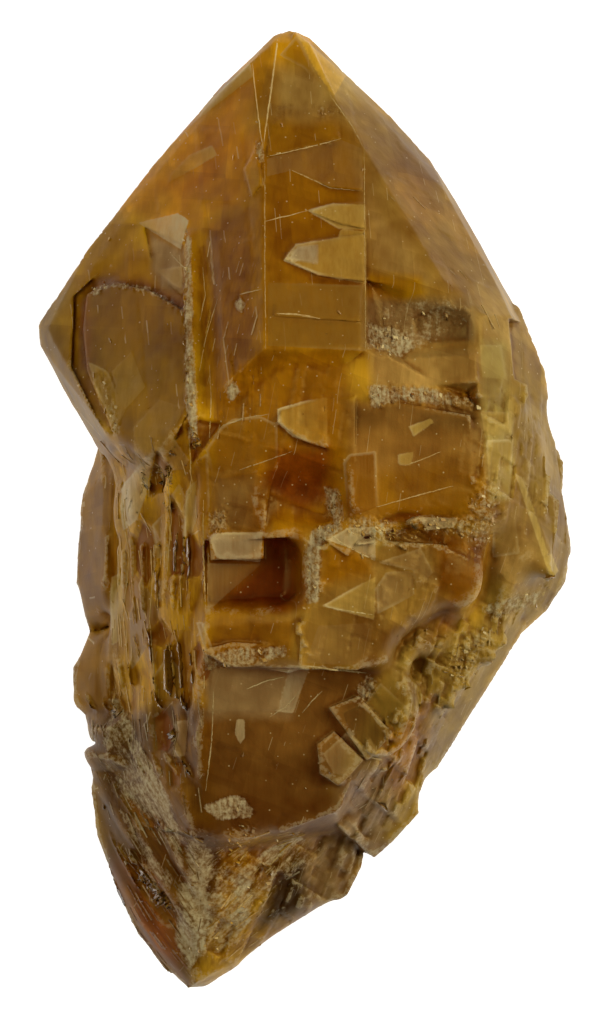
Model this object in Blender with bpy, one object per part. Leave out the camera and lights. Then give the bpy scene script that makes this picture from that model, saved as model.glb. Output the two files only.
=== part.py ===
# Orchid calcite: a broken honey-coloured crystal that lies on a cleavage face, its pointed end along +Y.
# X is across it, Y along it and Z up, in metres. The origin lies under the middle of its outline.
import math
import random

import bmesh
import bpy
from mathutils import Euler, Matrix, Vector
from mathutils.bvhtree import BVHTree

LENGTH = 0.100  # from the pointed end to the broken foot
MM = LENGTH / 100  # every size below is in millimetres on a crystal 100 mm long
FLOOR = -2.0  # the blocks reach this far below the face that the crystal rests on, and are cut off there
LOOSENESS = math.radians(5.0)  # how far a small rhomb may be turned from the lattice
SEED = 7

CALCITE_COLOUR = (0.46, 0.25, 0.06, 1.0)

# The three edge directions of the cleavage rhomb, 101.9 degrees from one another.
ALONG = Vector((0.0, 0.940, -0.342))  # down the front towards the point
ACROSS = Vector((0.757, -0.402, -0.515))  # to the right and back
STEEP = Vector((0.408, 0.109, 0.906))  # out of the crystal

# Large natural faces of the front: height over the middle, rise per mm to the right, rise per mm to the point.
FACES = {
    "left": (51.7, 0.915, -0.538),
    "front": (47.7, -0.077, -0.5515),
    "right": (74.3, -1.0, -1.12),
    "middle": (36.4, -0.06, 0.08),
    "lower": (37.9, 0.05, 0.39),
}

# The masses that grew together, each the convex form round its corners. A corner that starts with a face's
# name lies on that face.
MASSES = {
    "crown_left": [
        (-3.2, 49.4, 19.6), (-1.6, 50.0, 19.2), (-3.6, 48.6, 17.2), ("left", -5.6, 46.6), ("front", -3.3, 48.6),
        (0.2, 49.2, 18.8), ("front", 0.4, 48.6), (1.6, 47.8, 17.6),
        ("front", -4.5, 38.6), ("left", -5.1, 38.6), (-8.6, 44.3, 18.4), (-15.5, 36.3, 17.4), (-22.7, 27.1, 16.0),
        (-27.7, 19.4, 14.4), (-27.5, 17.3, 14.2), (-24.5, 11.6, 14.4), (-21.7, 6.8, 15.0), ("left", -14.4, 36.2),
        ("left", -26.6, 19.0), ("left", -26.0, 17.6), ("left", -20.6, 8.4), ("left", -4.2, 16.8),
        ("left", -12.4, 9.0), (-11.0, 3.0, 33.2), (-19.4, 3.4, 20.0), ("front", 6.2, 36.2), ("front", 6.2, 16.8),
        (-2.0, 46.0, 12.0), (-9.0, 33.0, FLOOR), (-16.0, 16.0, FLOOR), (5.0, 16.0, FLOOR), (5.0, 33.0, FLOOR),
        (9.0, 20.0, 22.0), (9.0, 30.0, 20.0),
    ],
    "crown_right": [
        ("front", -1.2, 49.8), (0.5, 49.2, 18.4), (-1.0, 49.9, 18.6), ("front", -3.6, 38.0), ("front", 3.1, 41.7),
        ("front", 7.8, 32.6), ("front", 14.0, 24.3), ("front", 6.0, 24.1), ("right", 16.6, 20.4),
        (3.9, 45.8, 18.2), (8.7, 41.2, 18.2), (12.9, 36.6, 18.6), (15.9, 31.8, 19.2), (18.5, 27.2, 20.2),
        (20.8, 22.5, 21.2), (22.8, 19.4, 22.0), ("right", 7.8, 41.0), ("right", 14.6, 33.0), ("right", 19.6, 24.0),
        ("right", 21.4, 20.0), (0.0, 46.0, 12.0), (12.0, 33.0, 8.0), (5.0, 33.0, FLOOR), (12.0, 27.0, FLOOR),
        (14.0, 16.0, FLOOR), (-3.0, 18.0, FLOOR),
    ],
    "shelf": [
        (6.0, 23.6, 32.4), (14.6, 23.6, 32.0), (17.8, 20.0, 32.4), (17.8, 10.0, 33.0), (6.0, 10.0, 33.8),
        (6.0, 24.0, 10.0), (17.0, 22.0, 10.0), (17.0, 10.0, 10.0), (6.0, 10.0, 10.0),
    ],
    "beige_ledge": [
        (7.0, 17.0, 33.2), (18.6, 17.8, 32.6), (19.0, 12.0, 32.8), (7.6, 11.8, 34.0), (8.4, 15.6, 35.2),
        (17.6, 16.2, 34.8), (17.8, 13.4, 35.2), (9.2, 12.9, 35.8), (8.0, 17.0, 28.0), (18.0, 17.0, 28.0),
        (18.0, 12.0, 28.0), (8.0, 12.0, 28.0),
    ],
    "middle": [
        ("middle", -2.8, 17.4), ("middle", 6.6, 17.2), ("middle", 6.6, -16.0), ("middle", -0.6, -16.0),
        ("middle", -2.6, -4.0), (-8.6, 13.0, 36.4), (-10.6, 13.0, 34.6), (-10.4, -3.0, 33.0), (-9.0, -16.0, 31.0),
        (17.6, 11.0, 34.2), (18.4, -2.0, 33.4), (15.0, -14.0, 30.4), (15.0, 22.0, FLOOR), (15.6, -12.0, FLOOR),
        (-13.0, 22.0, FLOOR), (-14.0, -18.0, FLOOR), (22.0, 6.0, 12.0), (20.0, -9.0, 12.0), (4.0, 22.0, 30.0),
    ],
    "left_flank": [
        (-10.4, 8.0, 34.0), (-10.2, -2.0, 33.2), (-10.4, -16.0, 31.2), (-11.0, -25.0, 27.4), (-15.4, 6.0, 27.6),
        (-15.8, -10.0, 26.0), (-16.2, -23.0, 21.4), (-18.9, 6.0, 18.5), (-19.6, -4.0, 17.5), (-19.4, -14.0, 16.5),
        (-19.8, -25.0, 14.0), (-16.0, 14.0, FLOOR), (-17.4, -8.0, FLOOR), (-16.0, -22.0, FLOOR),
        (-5.0, 12.0, 20.0), (-5.0, -20.0, 20.0), (-5.0, 12.0, FLOOR), (-5.0, -22.0, FLOOR),
    ],
    "front_slab": [
        (4.1, 10.6, 36.8), (9.0, 11.4, 36.6), (17.0, 10.0, 35.4), (18.6, 5.0, 35.0), (18.4, -1.2, 34.6),
        (5.4, -3.4, 37.4), (4.1, 3.0, 37.6), (4.4, 10.4, 30.0), (17.0, 9.6, 30.0), (18.0, -1.4, 30.0),
        (5.4, -3.2, 30.0),
    ],
    "front_block": [
        (-0.1, -3.8, 36.9), (6.2, -2.2, 37.0), (18.6, -3.8, 34.2), (19.2, -8.1, 33.4), (15.8, -11.6, 33.4),
        (8.3, -16.4, 35.0), (-0.6, -16.2, 36.0), (-0.6, -5.0, 28.0), (18.0, -5.0, 24.0), (15.0, -11.0, 24.0),
        (8.0, -15.4, 26.0), (-0.8, -15.2, 26.0),
    ],
    "left_box": [
        (-10.6, -9.6, 32.9), (-0.8, -9.2, 34.7), (-0.4, -16.0, 34.0), (-10.8, -14.6, 32.0), (-1.6, -16.6, 33.2),
        (-10.4, -9.8, 24.0), (-0.6, -9.6, 24.0), (-0.6, -16.0, 24.0), (-10.8, -15.0, 24.0),
    ],
    "back_left_lobe": [
        (-21.5, 7.0, 11.6), (-23.3, 1.6, 11.0), (-23.8, -8.0, 10.6), (-23.5, -12.6, 9.6), (-20.4, 4.0, 17.2),
        (-20.8, -10.0, 17.4), (-15.0, 8.0, 4.0), (-16.0, -14.0, 3.4), (-21.6, -4.0, 4.6), (-14.0, 2.0, 18.0),
    ],
    "back_left_foot": [
        (-23.4, -12.4, 11.0), (-24.2, -15.2, 10.4), (-24.1, -19.4, 10.0), (-22.8, -24.0, 9.0), (-20.4, -12.0, 15.4),
        (-20.6, -22.0, 15.0), (-14.0, -12.0, 16.0), (-16.0, -24.0, 4.0), (-21.4, -17.0, 3.0), (-16.0, -13.0, 2.0),
    ],
    "right_lobe": [
        (22.2, 21.2, 23.8), (24.8, 14.7, 22.6), (25.3, 8.5, 21.4), (27.1, -0.6, 20.2), (27.6, -4.0, 19.6),
        (27.0, -7.2, 19.2), (25.1, -10.2, 19.0), (22.0, -13.0, 19.0), (16.0, -14.6, 22.0), (19.6, 14.0, 32.4),
        (21.6, 0.0, 31.6), (20.2, -9.0, 29.0), (24.4, -3.0, 28.0), (23.4, 8.0, 27.6), (17.0, 14.0, 4.0),
        (20.0, -6.0, 3.0), (14.0, -12.0, 4.0), (23.0, 4.0, 9.0), (20.0, 22.6, 24.0), (15.0, 20.0, 26.0),
    ],
    "right_knob": [
        (25.3, 8.2, 20.4), (26.8, 5.2, 19.8), (26.8, 2.4, 19.0), (26.0, 1.2, 20.6), (22.0, 7.4, 25.0),
        (22.0, 1.0, 25.0), (22.0, 4.0, 14.0),
    ],
    "right_column": [
        (17.2, 20.5, 34.6), (21.0, 20.0, 30.6), (22.0, 10.0, 31.2), (21.6, -1.0, 31.4), (18.6, -1.4, 33.8),
        (18.2, 10.0, 35.0), (17.0, 20.0, 24.0), (21.0, 20.0, 22.0), (21.5, -1.0, 22.0), (18.0, -1.4, 22.0),
    ],
    "lower_front": [
        ("lower", -10.6, -14.0), ("lower", 8.4, -14.0), ("lower", 9.2, -23.0), ("lower", 3.2, -31.0),
        ("lower", -5.0, -34.0), ("lower", -11.3, -34.0), (-19.8, -16.0, 15.0), (-21.0, -32.0, 12.0),
        (13.4, -17.0, 18.0), (10.4, -27.0, 15.0), (4.0, -34.0, 13.0), (-16.0, -14.0, FLOOR),
        (-17.0, -31.0, FLOOR), (12.0, -12.0, FLOOR), (4.0, -31.0, FLOOR),
    ],
    "right_flank": [
        (23.0, -11.8, 20.4), (20.3, -14.8, 18.6), (17.1, -19.5, 17.2), (14.0, -24.2, 16.4), (12.6, -28.4, 14.6),
        (19.0, -9.0, 27.6), (14.6, -13.6, 28.2), (10.6, -20.0, 26.8), (9.2, -26.4, 23.6), (16.4, -16.4, 24.6),
        (13.4, -9.0, 4.0), (8.0, -26.0, 5.0), (4.0, -12.0, 24.0), (4.0, -25.0, 22.0), (15.0, -17.0, 9.0),
        (22.0, -4.0, 26.0), (19.4, -11.6, 27.0), (15.0, 0.0, 20.0), (4.0, -12.0, 4.0), (4.0, -25.0, 4.0),
    ],
    "right_heel": [
        (12.9, -26.0, 18.8), (12.4, -28.8, 18.2), (11.8, -31.2, 16.8), (9.2, -34.2, 15.6), (7.2, -36.0, 14.6),
        (3.0, -20.0, 25.0), (6.4, -23.0, 24.6), (3.4, -32.4, 21.4), (2.0, -24.0, 6.0), (3.0, -34.0, 6.4),
        (9.6, -28.0, 8.0),
    ],
    "foot": [
        (-11.2, -24.0, 26.0), (-11.0, -33.0, 23.4), (-11.4, -49.0, 12.6), (-12.3, -50.0, 11.0), (-10.2, -49.3, 10.0),
        (-22.5, -24.0, 11.4), (-22.6, -29.2, 11.0), (-22.1, -33.8, 10.6), (-20.0, -39.7, 10.0), (-17.8, -44.3, 9.8),
        (-14.9, -47.8, 9.6), (6.6, -30.0, 17.4), (6.0, -36.8, 13.4), (4.4, -39.8, 12.0), (0.0, -42.8, 11.2),
        (-6.4, -46.1, 10.4), (-13.6, -26.0, FLOOR), (-12.4, -38.0, FLOOR), (1.0, -34.0, FLOOR), (-16.0, -37.0, 1.6),
    ],
}

# Hollows where blocks broke out: a face, how deep below it, and the outline as x, y.
HOLLOWS = {
    "round_the_plate": ("left", 0.8, [(-24.0, 22.4), (-20.6, 25.4), (-15.6, 24.6), (-11.6, 21.6), (-13.6, 8.0),
                                      (-20.6, 8.0), (-24.2, 15.0)]),
    "above_the_plate": ("left", 0.4, [(-16.6, 29.6), (-12.6, 27.6), (-12.3, 22.0), (-15.4, 23.0)]),
    "groove": ("left", 1.7, [(-10.9, 28.4), (-10.3, 27.0), (-9.2, 16.0), (-8.8, 8.0), (-9.8, 3.4), (-10.9, 6.0)]),
    "left_of_the_block": ("middle", 4.6, [(-10.3, -3.0), (-0.3, -2.6), (-0.3, -9.4), (-10.4, -9.7)]),
    "under_the_slab": ("middle", 1.6, [(4.4, -2.8), (9.0, -1.2), (16.8, -1.0), (17.0, -3.4), (6.4, -2.4)]),
    "notch_by_the_ridge": ("middle", 2.2, [(-4.4, 3.0), (0.6, 4.6), (3.4, 2.4), (3.2, -1.6), (-3.6, -0.6)]),
    "broken_corner": ("middle", 5.0, [(10.4, -16.4), (17.0, -11.0), (14.2, -9.4), (8.6, -14.2)]),
}

# Plates, flakes and blocks left standing: a face, how thick, and the outline as x, y, height over the face.
PLATES = {
    "shield": ("left", 4.0, [(-22.6, 22.6, 0.5), (-20.2, 23.8, 0.7), (-16.1, 23.0, 0.9), (-12.2, 20.6, 0.9),
                             (-11.4, 11.6, 0.6), (-14.5, 5.4, 0.2), (-18.2, 4.4, -1.2), (-20.2, 9.0, 0.0),
                             (-22.6, 14.7, 0.4), (-23.0, 18.9, 0.4)]),
    "ridge": ("left", 3.0, [(-12.2, 29.6, 0.0), (-11.7, 29.0, 0.3), (-11.0, 18.0, 1.0), (-10.8, 7.0, 0.7),
                            (-11.6, 6.0, 0.4), (-12.4, 14.0, 0.8), (-12.5, 22.0, 0.8)]),
    "light_step": ("front", 2.0, [(-2.2, 26.1, 0.4), (-1.3, 27.6, 0.1), (1.3, 28.2, 0.05), (6.1, 28.6, 0.3),
                                  (6.1, 23.8, 0.55), (1.3, 24.4, 0.5)]),
    "upper_step": ("front", 2.0, [(-1.3, 35.3, 0.0), (2.6, 33.5, 0.4), (5.9, 33.2, 0.4), (5.9, 35.6, 0.05)]),
    "narrow_step": ("front", 2.0, [(0.3, 31.1, 0.3), (3.1, 31.8, 0.05), (6.1, 32.1, 0.05), (6.1, 29.3, 0.5),
                                   (3.6, 29.8, 0.5)]),
    "low_step": ("front", 2.0, [(-3.2, 20.2, 0.4), (6.1, 19.6, 0.4), (6.1, 23.4, 0.05), (-3.2, 22.6, 0.0)]),
    "point_step": ("front", 2.0, [(-3.9, 36.7, 0.35), (3.7, 38.6, 0.3), (2.8, 41.6, 0.0), (-3.4, 42.5, 0.0)]),
    "ridge_chip": ("left", 1.5, [(-6.3, 35.4, 0.4), (-5.0, 38.0, 0.1), (-4.4, 34.0, 0.5), (-5.4, 32.6, 0.3)]),
    "pale_chip": ("middle", 2.0, [(-2.9, 9.3, 0.6), (-2.4, 10.5, 0.2), (1.8, 11.7, 0.1), (2.2, 6.5, 0.8),
                                  (-0.5, 7.4, 0.7)]),
    "block_beside_it": ("middle", 2.0, [(1.9, 11.4, 0.15), (5.2, 11.9, 0.2), (5.2, 5.0, 0.9), (2.2, 6.0, 0.8)]),
    "corner_by_the_slab": ("middle", 2.0, [(1.6, -2.6, 0.9), (4.4, -4.6, 1.5), (5.9, -1.6, 0.9), (3.4, -0.8, 0.5)]),
    "small_box": ("middle", 4.0, [(-10.0, -1.9, -2.4), (-4.2, -2.2, -1.2), (-4.2, -4.9, -1.7), (-9.8, -5.0, -2.8)]),
    "slash": ("middle", 4.0, [(20.4, 3.0, -3.2), (21.4, 2.4, -3.6), (25.6, -5.6, -6.4), (24.6, -6.6, -5.8)]),
    "upper_rhomb": ("lower", 2.5, [(2.4, -20.2, 0.9), (5.6, -18.9, 0.5), (9.0, -23.0, 1.2), (6.4, -25.6, 1.8)]),
    "lower_rhomb": ("lower", 2.5, [(1.2, -24.0, 0.8), (3.0, -22.6, 0.5), (6.0, -25.6, 1.5), (3.6, -28.4, 2.0),
                                   (1.5, -27.0, 1.2)]),
    "corner_rhomb": ("lower", 3.0, [(6.4, -17.6, 0.3), (9.6, -16.0, 0.2), (12.6, -19.6, -1.0), (10.0, -22.8, -0.2)]),
    "hanging_chip": ("middle", 4.0, [(10.4, -13.0, -2.2), (12.8, -11.4, -2.6), (11.6, -15.0, -3.4),
                                     (8.6, -18.0, -3.0)]),
    "ledge_crest": ("middle", 2.0, [(-10.8, -14.2, -3.0), (-7.6, -13.4, -2.2), (-1.4, -13.8, -0.9),
                                    (-1.2, -15.8, -0.9), (-8.0, -16.0, -2.4)]),
    "foot_crust": ("lower", 2.0, [(-10.4, -29.6, 0.2), (-7.6, -28.2, 0.5), (-4.2, -29.4, 0.5), (-3.4, -32.0, 0.6),
                                  (-6.6, -34.6, 0.4), (-10.8, -34.0, 0.2)]),
}

# Patches that broke into small cleavage rhombs: four corners as x, y, how many, and their sizes in mm.
CRUMBLED = [
    ([(6.8, 21.8), (15.6, 22.4), (15.8, 18.6), (7.0, 17.8)], 20, (1.0, 2.4)),
    ([(6.8, 12.2), (17.4, 12.2), (17.6, 10.6), (6.6, 10.8)], 12, (0.8, 1.7)),
    ([(4.6, -1.4), (16.6, -0.6), (16.6, -3.2), (5.6, -3.6)], 14, (0.9, 2.2)),
    ([(18.2, 15.0), (21.0, 15.0), (20.8, -2.0), (17.8, -2.0)], 16, (1.8, 3.2)),
    ([(11.0, -13.0), (19.6, -11.4), (15.4, -17.4), (9.4, -20.4)], 18, (1.8, 3.6)),
    ([(8.6, -20.4), (11.4, -20.4), (9.0, -30.0), (5.4, -30.8)], 14, (1.8, 3.4)),
    ([(-9.6, 10.4), (-5.6, 10.4), (-4.6, 0.4), (-9.4, -0.6)], 8, (1.6, 3.2)),
    ([(-0.2, -4.6), (1.2, -4.2), (0.9, -15.0), (-0.4, -15.0)], 8, (0.8, 1.5)),
    ([(-9.6, -34.6), (-2.0, -34.6), (0.6, -39.0), (-9.4, -43.0)], 16, (1.8, 3.8)),
    ([(21.0, 12.0), (23.4, 11.0), (24.0, -3.4), (21.0, -7.0)], 9, (2.2, 4.4)),
]

# Bundles of splinters: where the bundle starts and ends as x, y, which way its splinters run, their lengths.
SPLINTERS = [
    ((-12.2, 4.0), (-18.8, 2.6), (0.10, 1.0), 9, (8.0, 15.0)),
    ((-11.6, -6.0), (-18.9, -7.6), (0.02, 1.0), 9, (9.0, 16.0)),
    ((-11.8, -17.0), (-18.8, -15.6), (-0.06, 1.0), 9, (8.0, 14.0)),
    ((-13.0, -25.0), (-20.6, -22.6), (-0.50, 1.0), 7, (9.0, 14.0)),
    ((-13.2, -33.6), (-20.4, -29.6), (-0.62, 1.0), 7, (9.0, 14.0)),
    ((-12.6, -41.0), (-18.6, -36.6), (-0.62, 1.0), 6, (8.0, 12.0)),
]


def collection(name, hidden=False):
    made = bpy.data.collections.new(name)
    bpy.context.scene.collection.children.link(made)
    made.hide_render = hidden
    return made


def add_object(name, draw, home):
    """One mesh object, drawn by draw(bm) in millimetres and stored in metres."""
    bm = bmesh.new()
    draw(bm)
    bmesh.ops.scale(bm, vec=(MM, MM, MM), verts=bm.verts)
    bmesh.ops.recalc_face_normals(bm, faces=bm.faces)
    mesh = bpy.data.meshes.new(name)
    bm.to_mesh(mesh)
    bm.free()
    made = bpy.data.objects.new(name, mesh)
    home.objects.link(made)
    if home.hide_render:
        made.hide_render = True
        made.display_type = "WIRE"
    return made


def on_face(face, x, y, over=0.0):
    """A point on a large face, or over it."""
    height, rightward, pointward = FACES[face]
    return (x, y, height + rightward * x + pointward * y + over)


def placed(corner):
    return on_face(*corner) if isinstance(corner[0], str) else corner


def hull(corners):
    """Draws the convex form round the corners."""

    def draw(bm):
        for corner in corners:
            bm.verts.new(corner)
        found = bmesh.ops.convex_hull(bm, input=bm.verts)
        inside = set(found["geom_interior"]) | set(found["geom_unused"])
        bmesh.ops.delete(bm, geom=[v for v in inside if isinstance(v, bmesh.types.BMVert)], context="VERTS")

    return draw


def plate(face, thickness, outline):
    """Draws a plate whose top stands over a face by the height of each of its corners."""
    top = [on_face(face, x, y, over) for x, y, over in outline]
    return hull(top + [on_face(face, x, y, over - thickness) for x, y, over in outline])


def hollow(face, depth, outline):
    """Draws what is taken away: from a depth below a face to well over it."""
    floor = [on_face(face, x, y, -depth) for x, y in outline]
    return hull(floor + [on_face(face, x, y, 6.0) for x, y in outline])


def rhomb(centre, sizes, turns):
    """Draws a cleavage rhomb with those edge lengths, turned a little about X, Y and Z."""

    def draw(bm):
        edges = Matrix([edge * size for edge, size in zip((ALONG, ACROSS, STEEP), sizes)]).transposed()
        turned = Euler(turns).to_matrix() @ edges
        bmesh.ops.create_cube(bm, size=1.0, matrix=Matrix.Translation(centre) @ turned.to_4x4())

    return draw


def splinter(start, end, width, lean):
    """Draws a thin blade between two points, sharp along its back and at its ends."""
    line = Vector(end) - Vector(start)
    side = line.cross(Vector((lean, 0.0, 1.0))).normalized() * width
    crest = side.cross(line).normalized() * width
    if crest.z < 0:
        crest = -crest
    first = Vector(start)
    near, far = first + line * 0.2, first + line * 0.75
    corners = [first - crest, first + line - crest]
    for point in (near, far):
        corners += [point + side * 0.5 - crest * 1.6, point - side * 0.5 - crest * 1.6, point + side * 0.5]
        corners += [point - side * 0.35, point + crest * 0.55]
    return hull(corners)


def block(centre, width, length, height):
    """Draws an upright box."""

    def draw(bm):
        sizes = Matrix.Diagonal((width, length, height, 1.0))
        bmesh.ops.create_cube(bm, size=1.0, matrix=Matrix.Translation(centre) @ sizes)

    return draw


def combine(crystal, name, operation, parts, solver="EXACT"):
    """A Boolean of the crystal with one object or with all that is in a collection."""
    step = crystal.modifiers.new(name, "BOOLEAN")
    step.operation = operation
    step.solver = solver
    if isinstance(parts, bpy.types.Collection):
        step.operand_type = "COLLECTION"
        step.collection = parts
    else:
        step.object = parts


def surface_finder(crystal):
    """A function that gives the height of the crystal's front at x, y, in mm, or None beside it."""
    tree = BVHTree.FromObject(crystal, bpy.context.evaluated_depsgraph_get())

    def height(x, y):
        place = tree.ray_cast(Vector((x * MM, y * MM, LENGTH)), Vector((0.0, 0.0, -1.0)))[0]
        return None if place is None else place.z / MM

    return height


def add_crumbled_patches(home, height):
    rng = random.Random(SEED)
    for patch, ((near_left, near_right, far_right, far_left), count, (least, most)) in enumerate(CRUMBLED):
        for number in range(count):
            right, down = rng.random(), (number + rng.random()) / count
            upper = Vector(near_left).lerp(Vector(near_right), right)
            lower = Vector(far_left).lerp(Vector(far_right), right)
            x, y = upper.lerp(lower, down)
            z = height(x, y)
            if z is None:
                continue
            sizes = [rng.uniform(least, most) * share for share in (1.5, 1.2, 0.8)]
            rise = sum(abs(edge.z) * size for edge, size in zip((ALONG, ACROSS, STEEP), sizes)) / 2
            proud = rng.uniform(0.15, 0.35) * most
            turns = [rng.uniform(-LOOSENESS, LOOSENESS) for axis in range(3)]
            add_object(f"rhomb_{patch}_{number}", rhomb((x, y, z - rise + proud), sizes, turns), home)


def add_splinters(home, height):
    rng = random.Random(SEED + 1)
    for bundle, (first, last, (run_x, run_y), count, (least, most)) in enumerate(SPLINTERS):
        for number in range(count):
            share = (number + rng.uniform(-0.3, 0.3)) / (count - 1)
            middle = Vector(first).lerp(Vector(last), share)
            half = Vector((run_x + rng.uniform(-0.06, 0.06), run_y)).normalized() * rng.uniform(least, most) / 2
            upper, lower = middle + half, middle - half
            heights = height(*upper), height(*lower)
            if None in heights:
                continue
            raised = rng.uniform(-0.1, 0.7)
            start, end = (*upper, heights[0] + raised - 0.5), (*lower, heights[1] + raised - 0.3)
            add_object(f"splinter_{bundle}_{number}", splinter(start, end, rng.uniform(0.8, 1.5), -0.8), home)


def main():
    for old in list(bpy.data.objects):
        bpy.data.objects.remove(old)
    home = collection("orchid_calcite")
    joined = collection("joined_masses", hidden=True)
    broken_out = collection("broken_out", hidden=True)
    standing = collection("standing_plates", hidden=True)
    splintered = collection("splinters", hidden=True)
    crumbs = collection("crumbled_patches", hidden=True)
    under_it = collection("under_it", hidden=True)

    material = bpy.data.materials.new("honey_calcite")
    material.use_nodes = True
    surface = material.node_tree.nodes["Principled BSDF"]
    surface.inputs["Base Color"].default_value = CALCITE_COLOUR
    surface.inputs["Roughness"].default_value = 0.28

    for name, corners in MASSES.items():
        mass = hull([placed(corner) for corner in corners])
        if name == "crown_left":
            crystal = add_object("crystal", mass, home)
        else:
            add_object(name, mass, joined)
    crystal.data.materials.append(material)
    for name, taken in HOLLOWS.items():
        add_object(name, hollow(*taken), broken_out)
    for name, kept in PLATES.items():
        add_object(name, plate(*kept), standing)
    combine(crystal, "grown together", "UNION", joined)
    combine(crystal, "broken out", "DIFFERENCE", broken_out)
    combine(crystal, "left standing", "UNION", standing)

    height = surface_finder(crystal)
    add_crumbled_patches(crumbs, height)
    add_splinters(splintered, height)
    # Many small overlapping solids stay closed only with this solver.
    combine(crystal, "splintered", "UNION", splintered, "MANIFOLD")
    combine(crystal, "crumbled", "UNION", crumbs, "MANIFOLD")

    size = LENGTH / MM * 2
    cut_off = block((0.0, 0.0, -size / 2), size, size, size)
    combine(crystal, "rest face", "DIFFERENCE", add_object("below_the_rest", cut_off, under_it))


main()
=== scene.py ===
# Orchid calcite, finished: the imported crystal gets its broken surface, honey body, veils and crumbs.
import math

import bmesh
import bpy
import numpy as np
from mathutils import Matrix, Vector
from mathutils.bvhtree import BVHTree


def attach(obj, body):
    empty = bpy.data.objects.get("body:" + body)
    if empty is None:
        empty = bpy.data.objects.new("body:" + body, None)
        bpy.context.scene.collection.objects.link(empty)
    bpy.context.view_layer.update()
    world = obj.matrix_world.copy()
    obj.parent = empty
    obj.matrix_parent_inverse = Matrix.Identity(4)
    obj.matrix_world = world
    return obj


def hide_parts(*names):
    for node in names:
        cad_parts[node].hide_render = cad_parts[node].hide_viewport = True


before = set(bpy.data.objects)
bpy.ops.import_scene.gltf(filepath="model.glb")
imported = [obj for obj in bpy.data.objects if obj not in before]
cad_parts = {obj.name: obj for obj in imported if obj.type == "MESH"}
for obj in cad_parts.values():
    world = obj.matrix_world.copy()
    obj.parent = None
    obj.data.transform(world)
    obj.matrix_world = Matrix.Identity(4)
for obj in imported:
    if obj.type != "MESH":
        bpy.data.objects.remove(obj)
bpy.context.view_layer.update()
mm = 0.001

# The cleavage rhomb's edge directions, as in the solid. Everything that broke follows them.
alongEdge = Vector((0.0, 0.940, -0.342))
acrossEdge = Vector((0.757, -0.402, -0.515))
steepEdge = Vector((0.408, 0.109, 0.906))
lattice = Matrix((alongEdge, acrossEdge, steepEdge)).transposed()
latticeRows = lattice.inverted()

# Outlines are drawn on a sheet over the crystal, y down, with this unit and this point over the origin.
sheet = {"unitMm": 0.10373, "originAt": (305, 512)}

# The calcite's colours; the sheen colour is partly a painted sheen, and the dark red-brown of the recess
# partly painted shade
palette = {
    "shadedRecess": "#6a2e00", "redAmber": "#743800", "deepAmber": "#7c4a00", "amber": "#8a5a00",
    "frontAmber": "#926206", "leftHoney": "#b08208", "topHoney": "#c48000", "apexGold": "#d09410",
    "apexYellow": "#ecb83c", "apexPale": "#b08e48", "wing": "#846218", "shield": "#7e5804",
    "sheen": "#8f6c34", "lowBeige": "#a88850", "ledge": "#9e7c44", "blush": "#92682c",
    "column": "#aa9456", "block": "#8a682a", "lower": "#6f4c1e", "lowerLeft": "#664408",
    "bottomDark": "#3c260c", "rear": "#845a0c", "lobe": "#8e702e", "patch": "#957a54",
    "umber": "#573a16", "paleGold": "#b49248", "paleHoney": "#c4a75c", "white": "#dccca6",
    "greyWhite": "#baae94", "paleWhite": "#c8bfa8",
}


def linear(hexColour):
    channels = [int(hexColour[i:i + 2], 16) / 255 for i in (1, 3, 5)]
    return [c / 12.92 if c <= 0.04045 else ((c + 0.055) / 1.055) ** 2.4 for c in channels] + [1.0]


def addNode(tree, kind, settings=None, links=None):
    # One node with its settings; links give a socket a value or another node's output.
    node = tree.nodes.new(kind)
    for name, value in (settings or {}).items():
        setattr(node, name, value)
    for socket, value in (links or {}).items():
        if isinstance(value, bpy.types.NodeSocket):
            tree.links.new(value, node.inputs[socket])
        else:
            node.inputs[socket].default_value = value
    return node


# Where things lie, as drawn on the sheet

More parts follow.
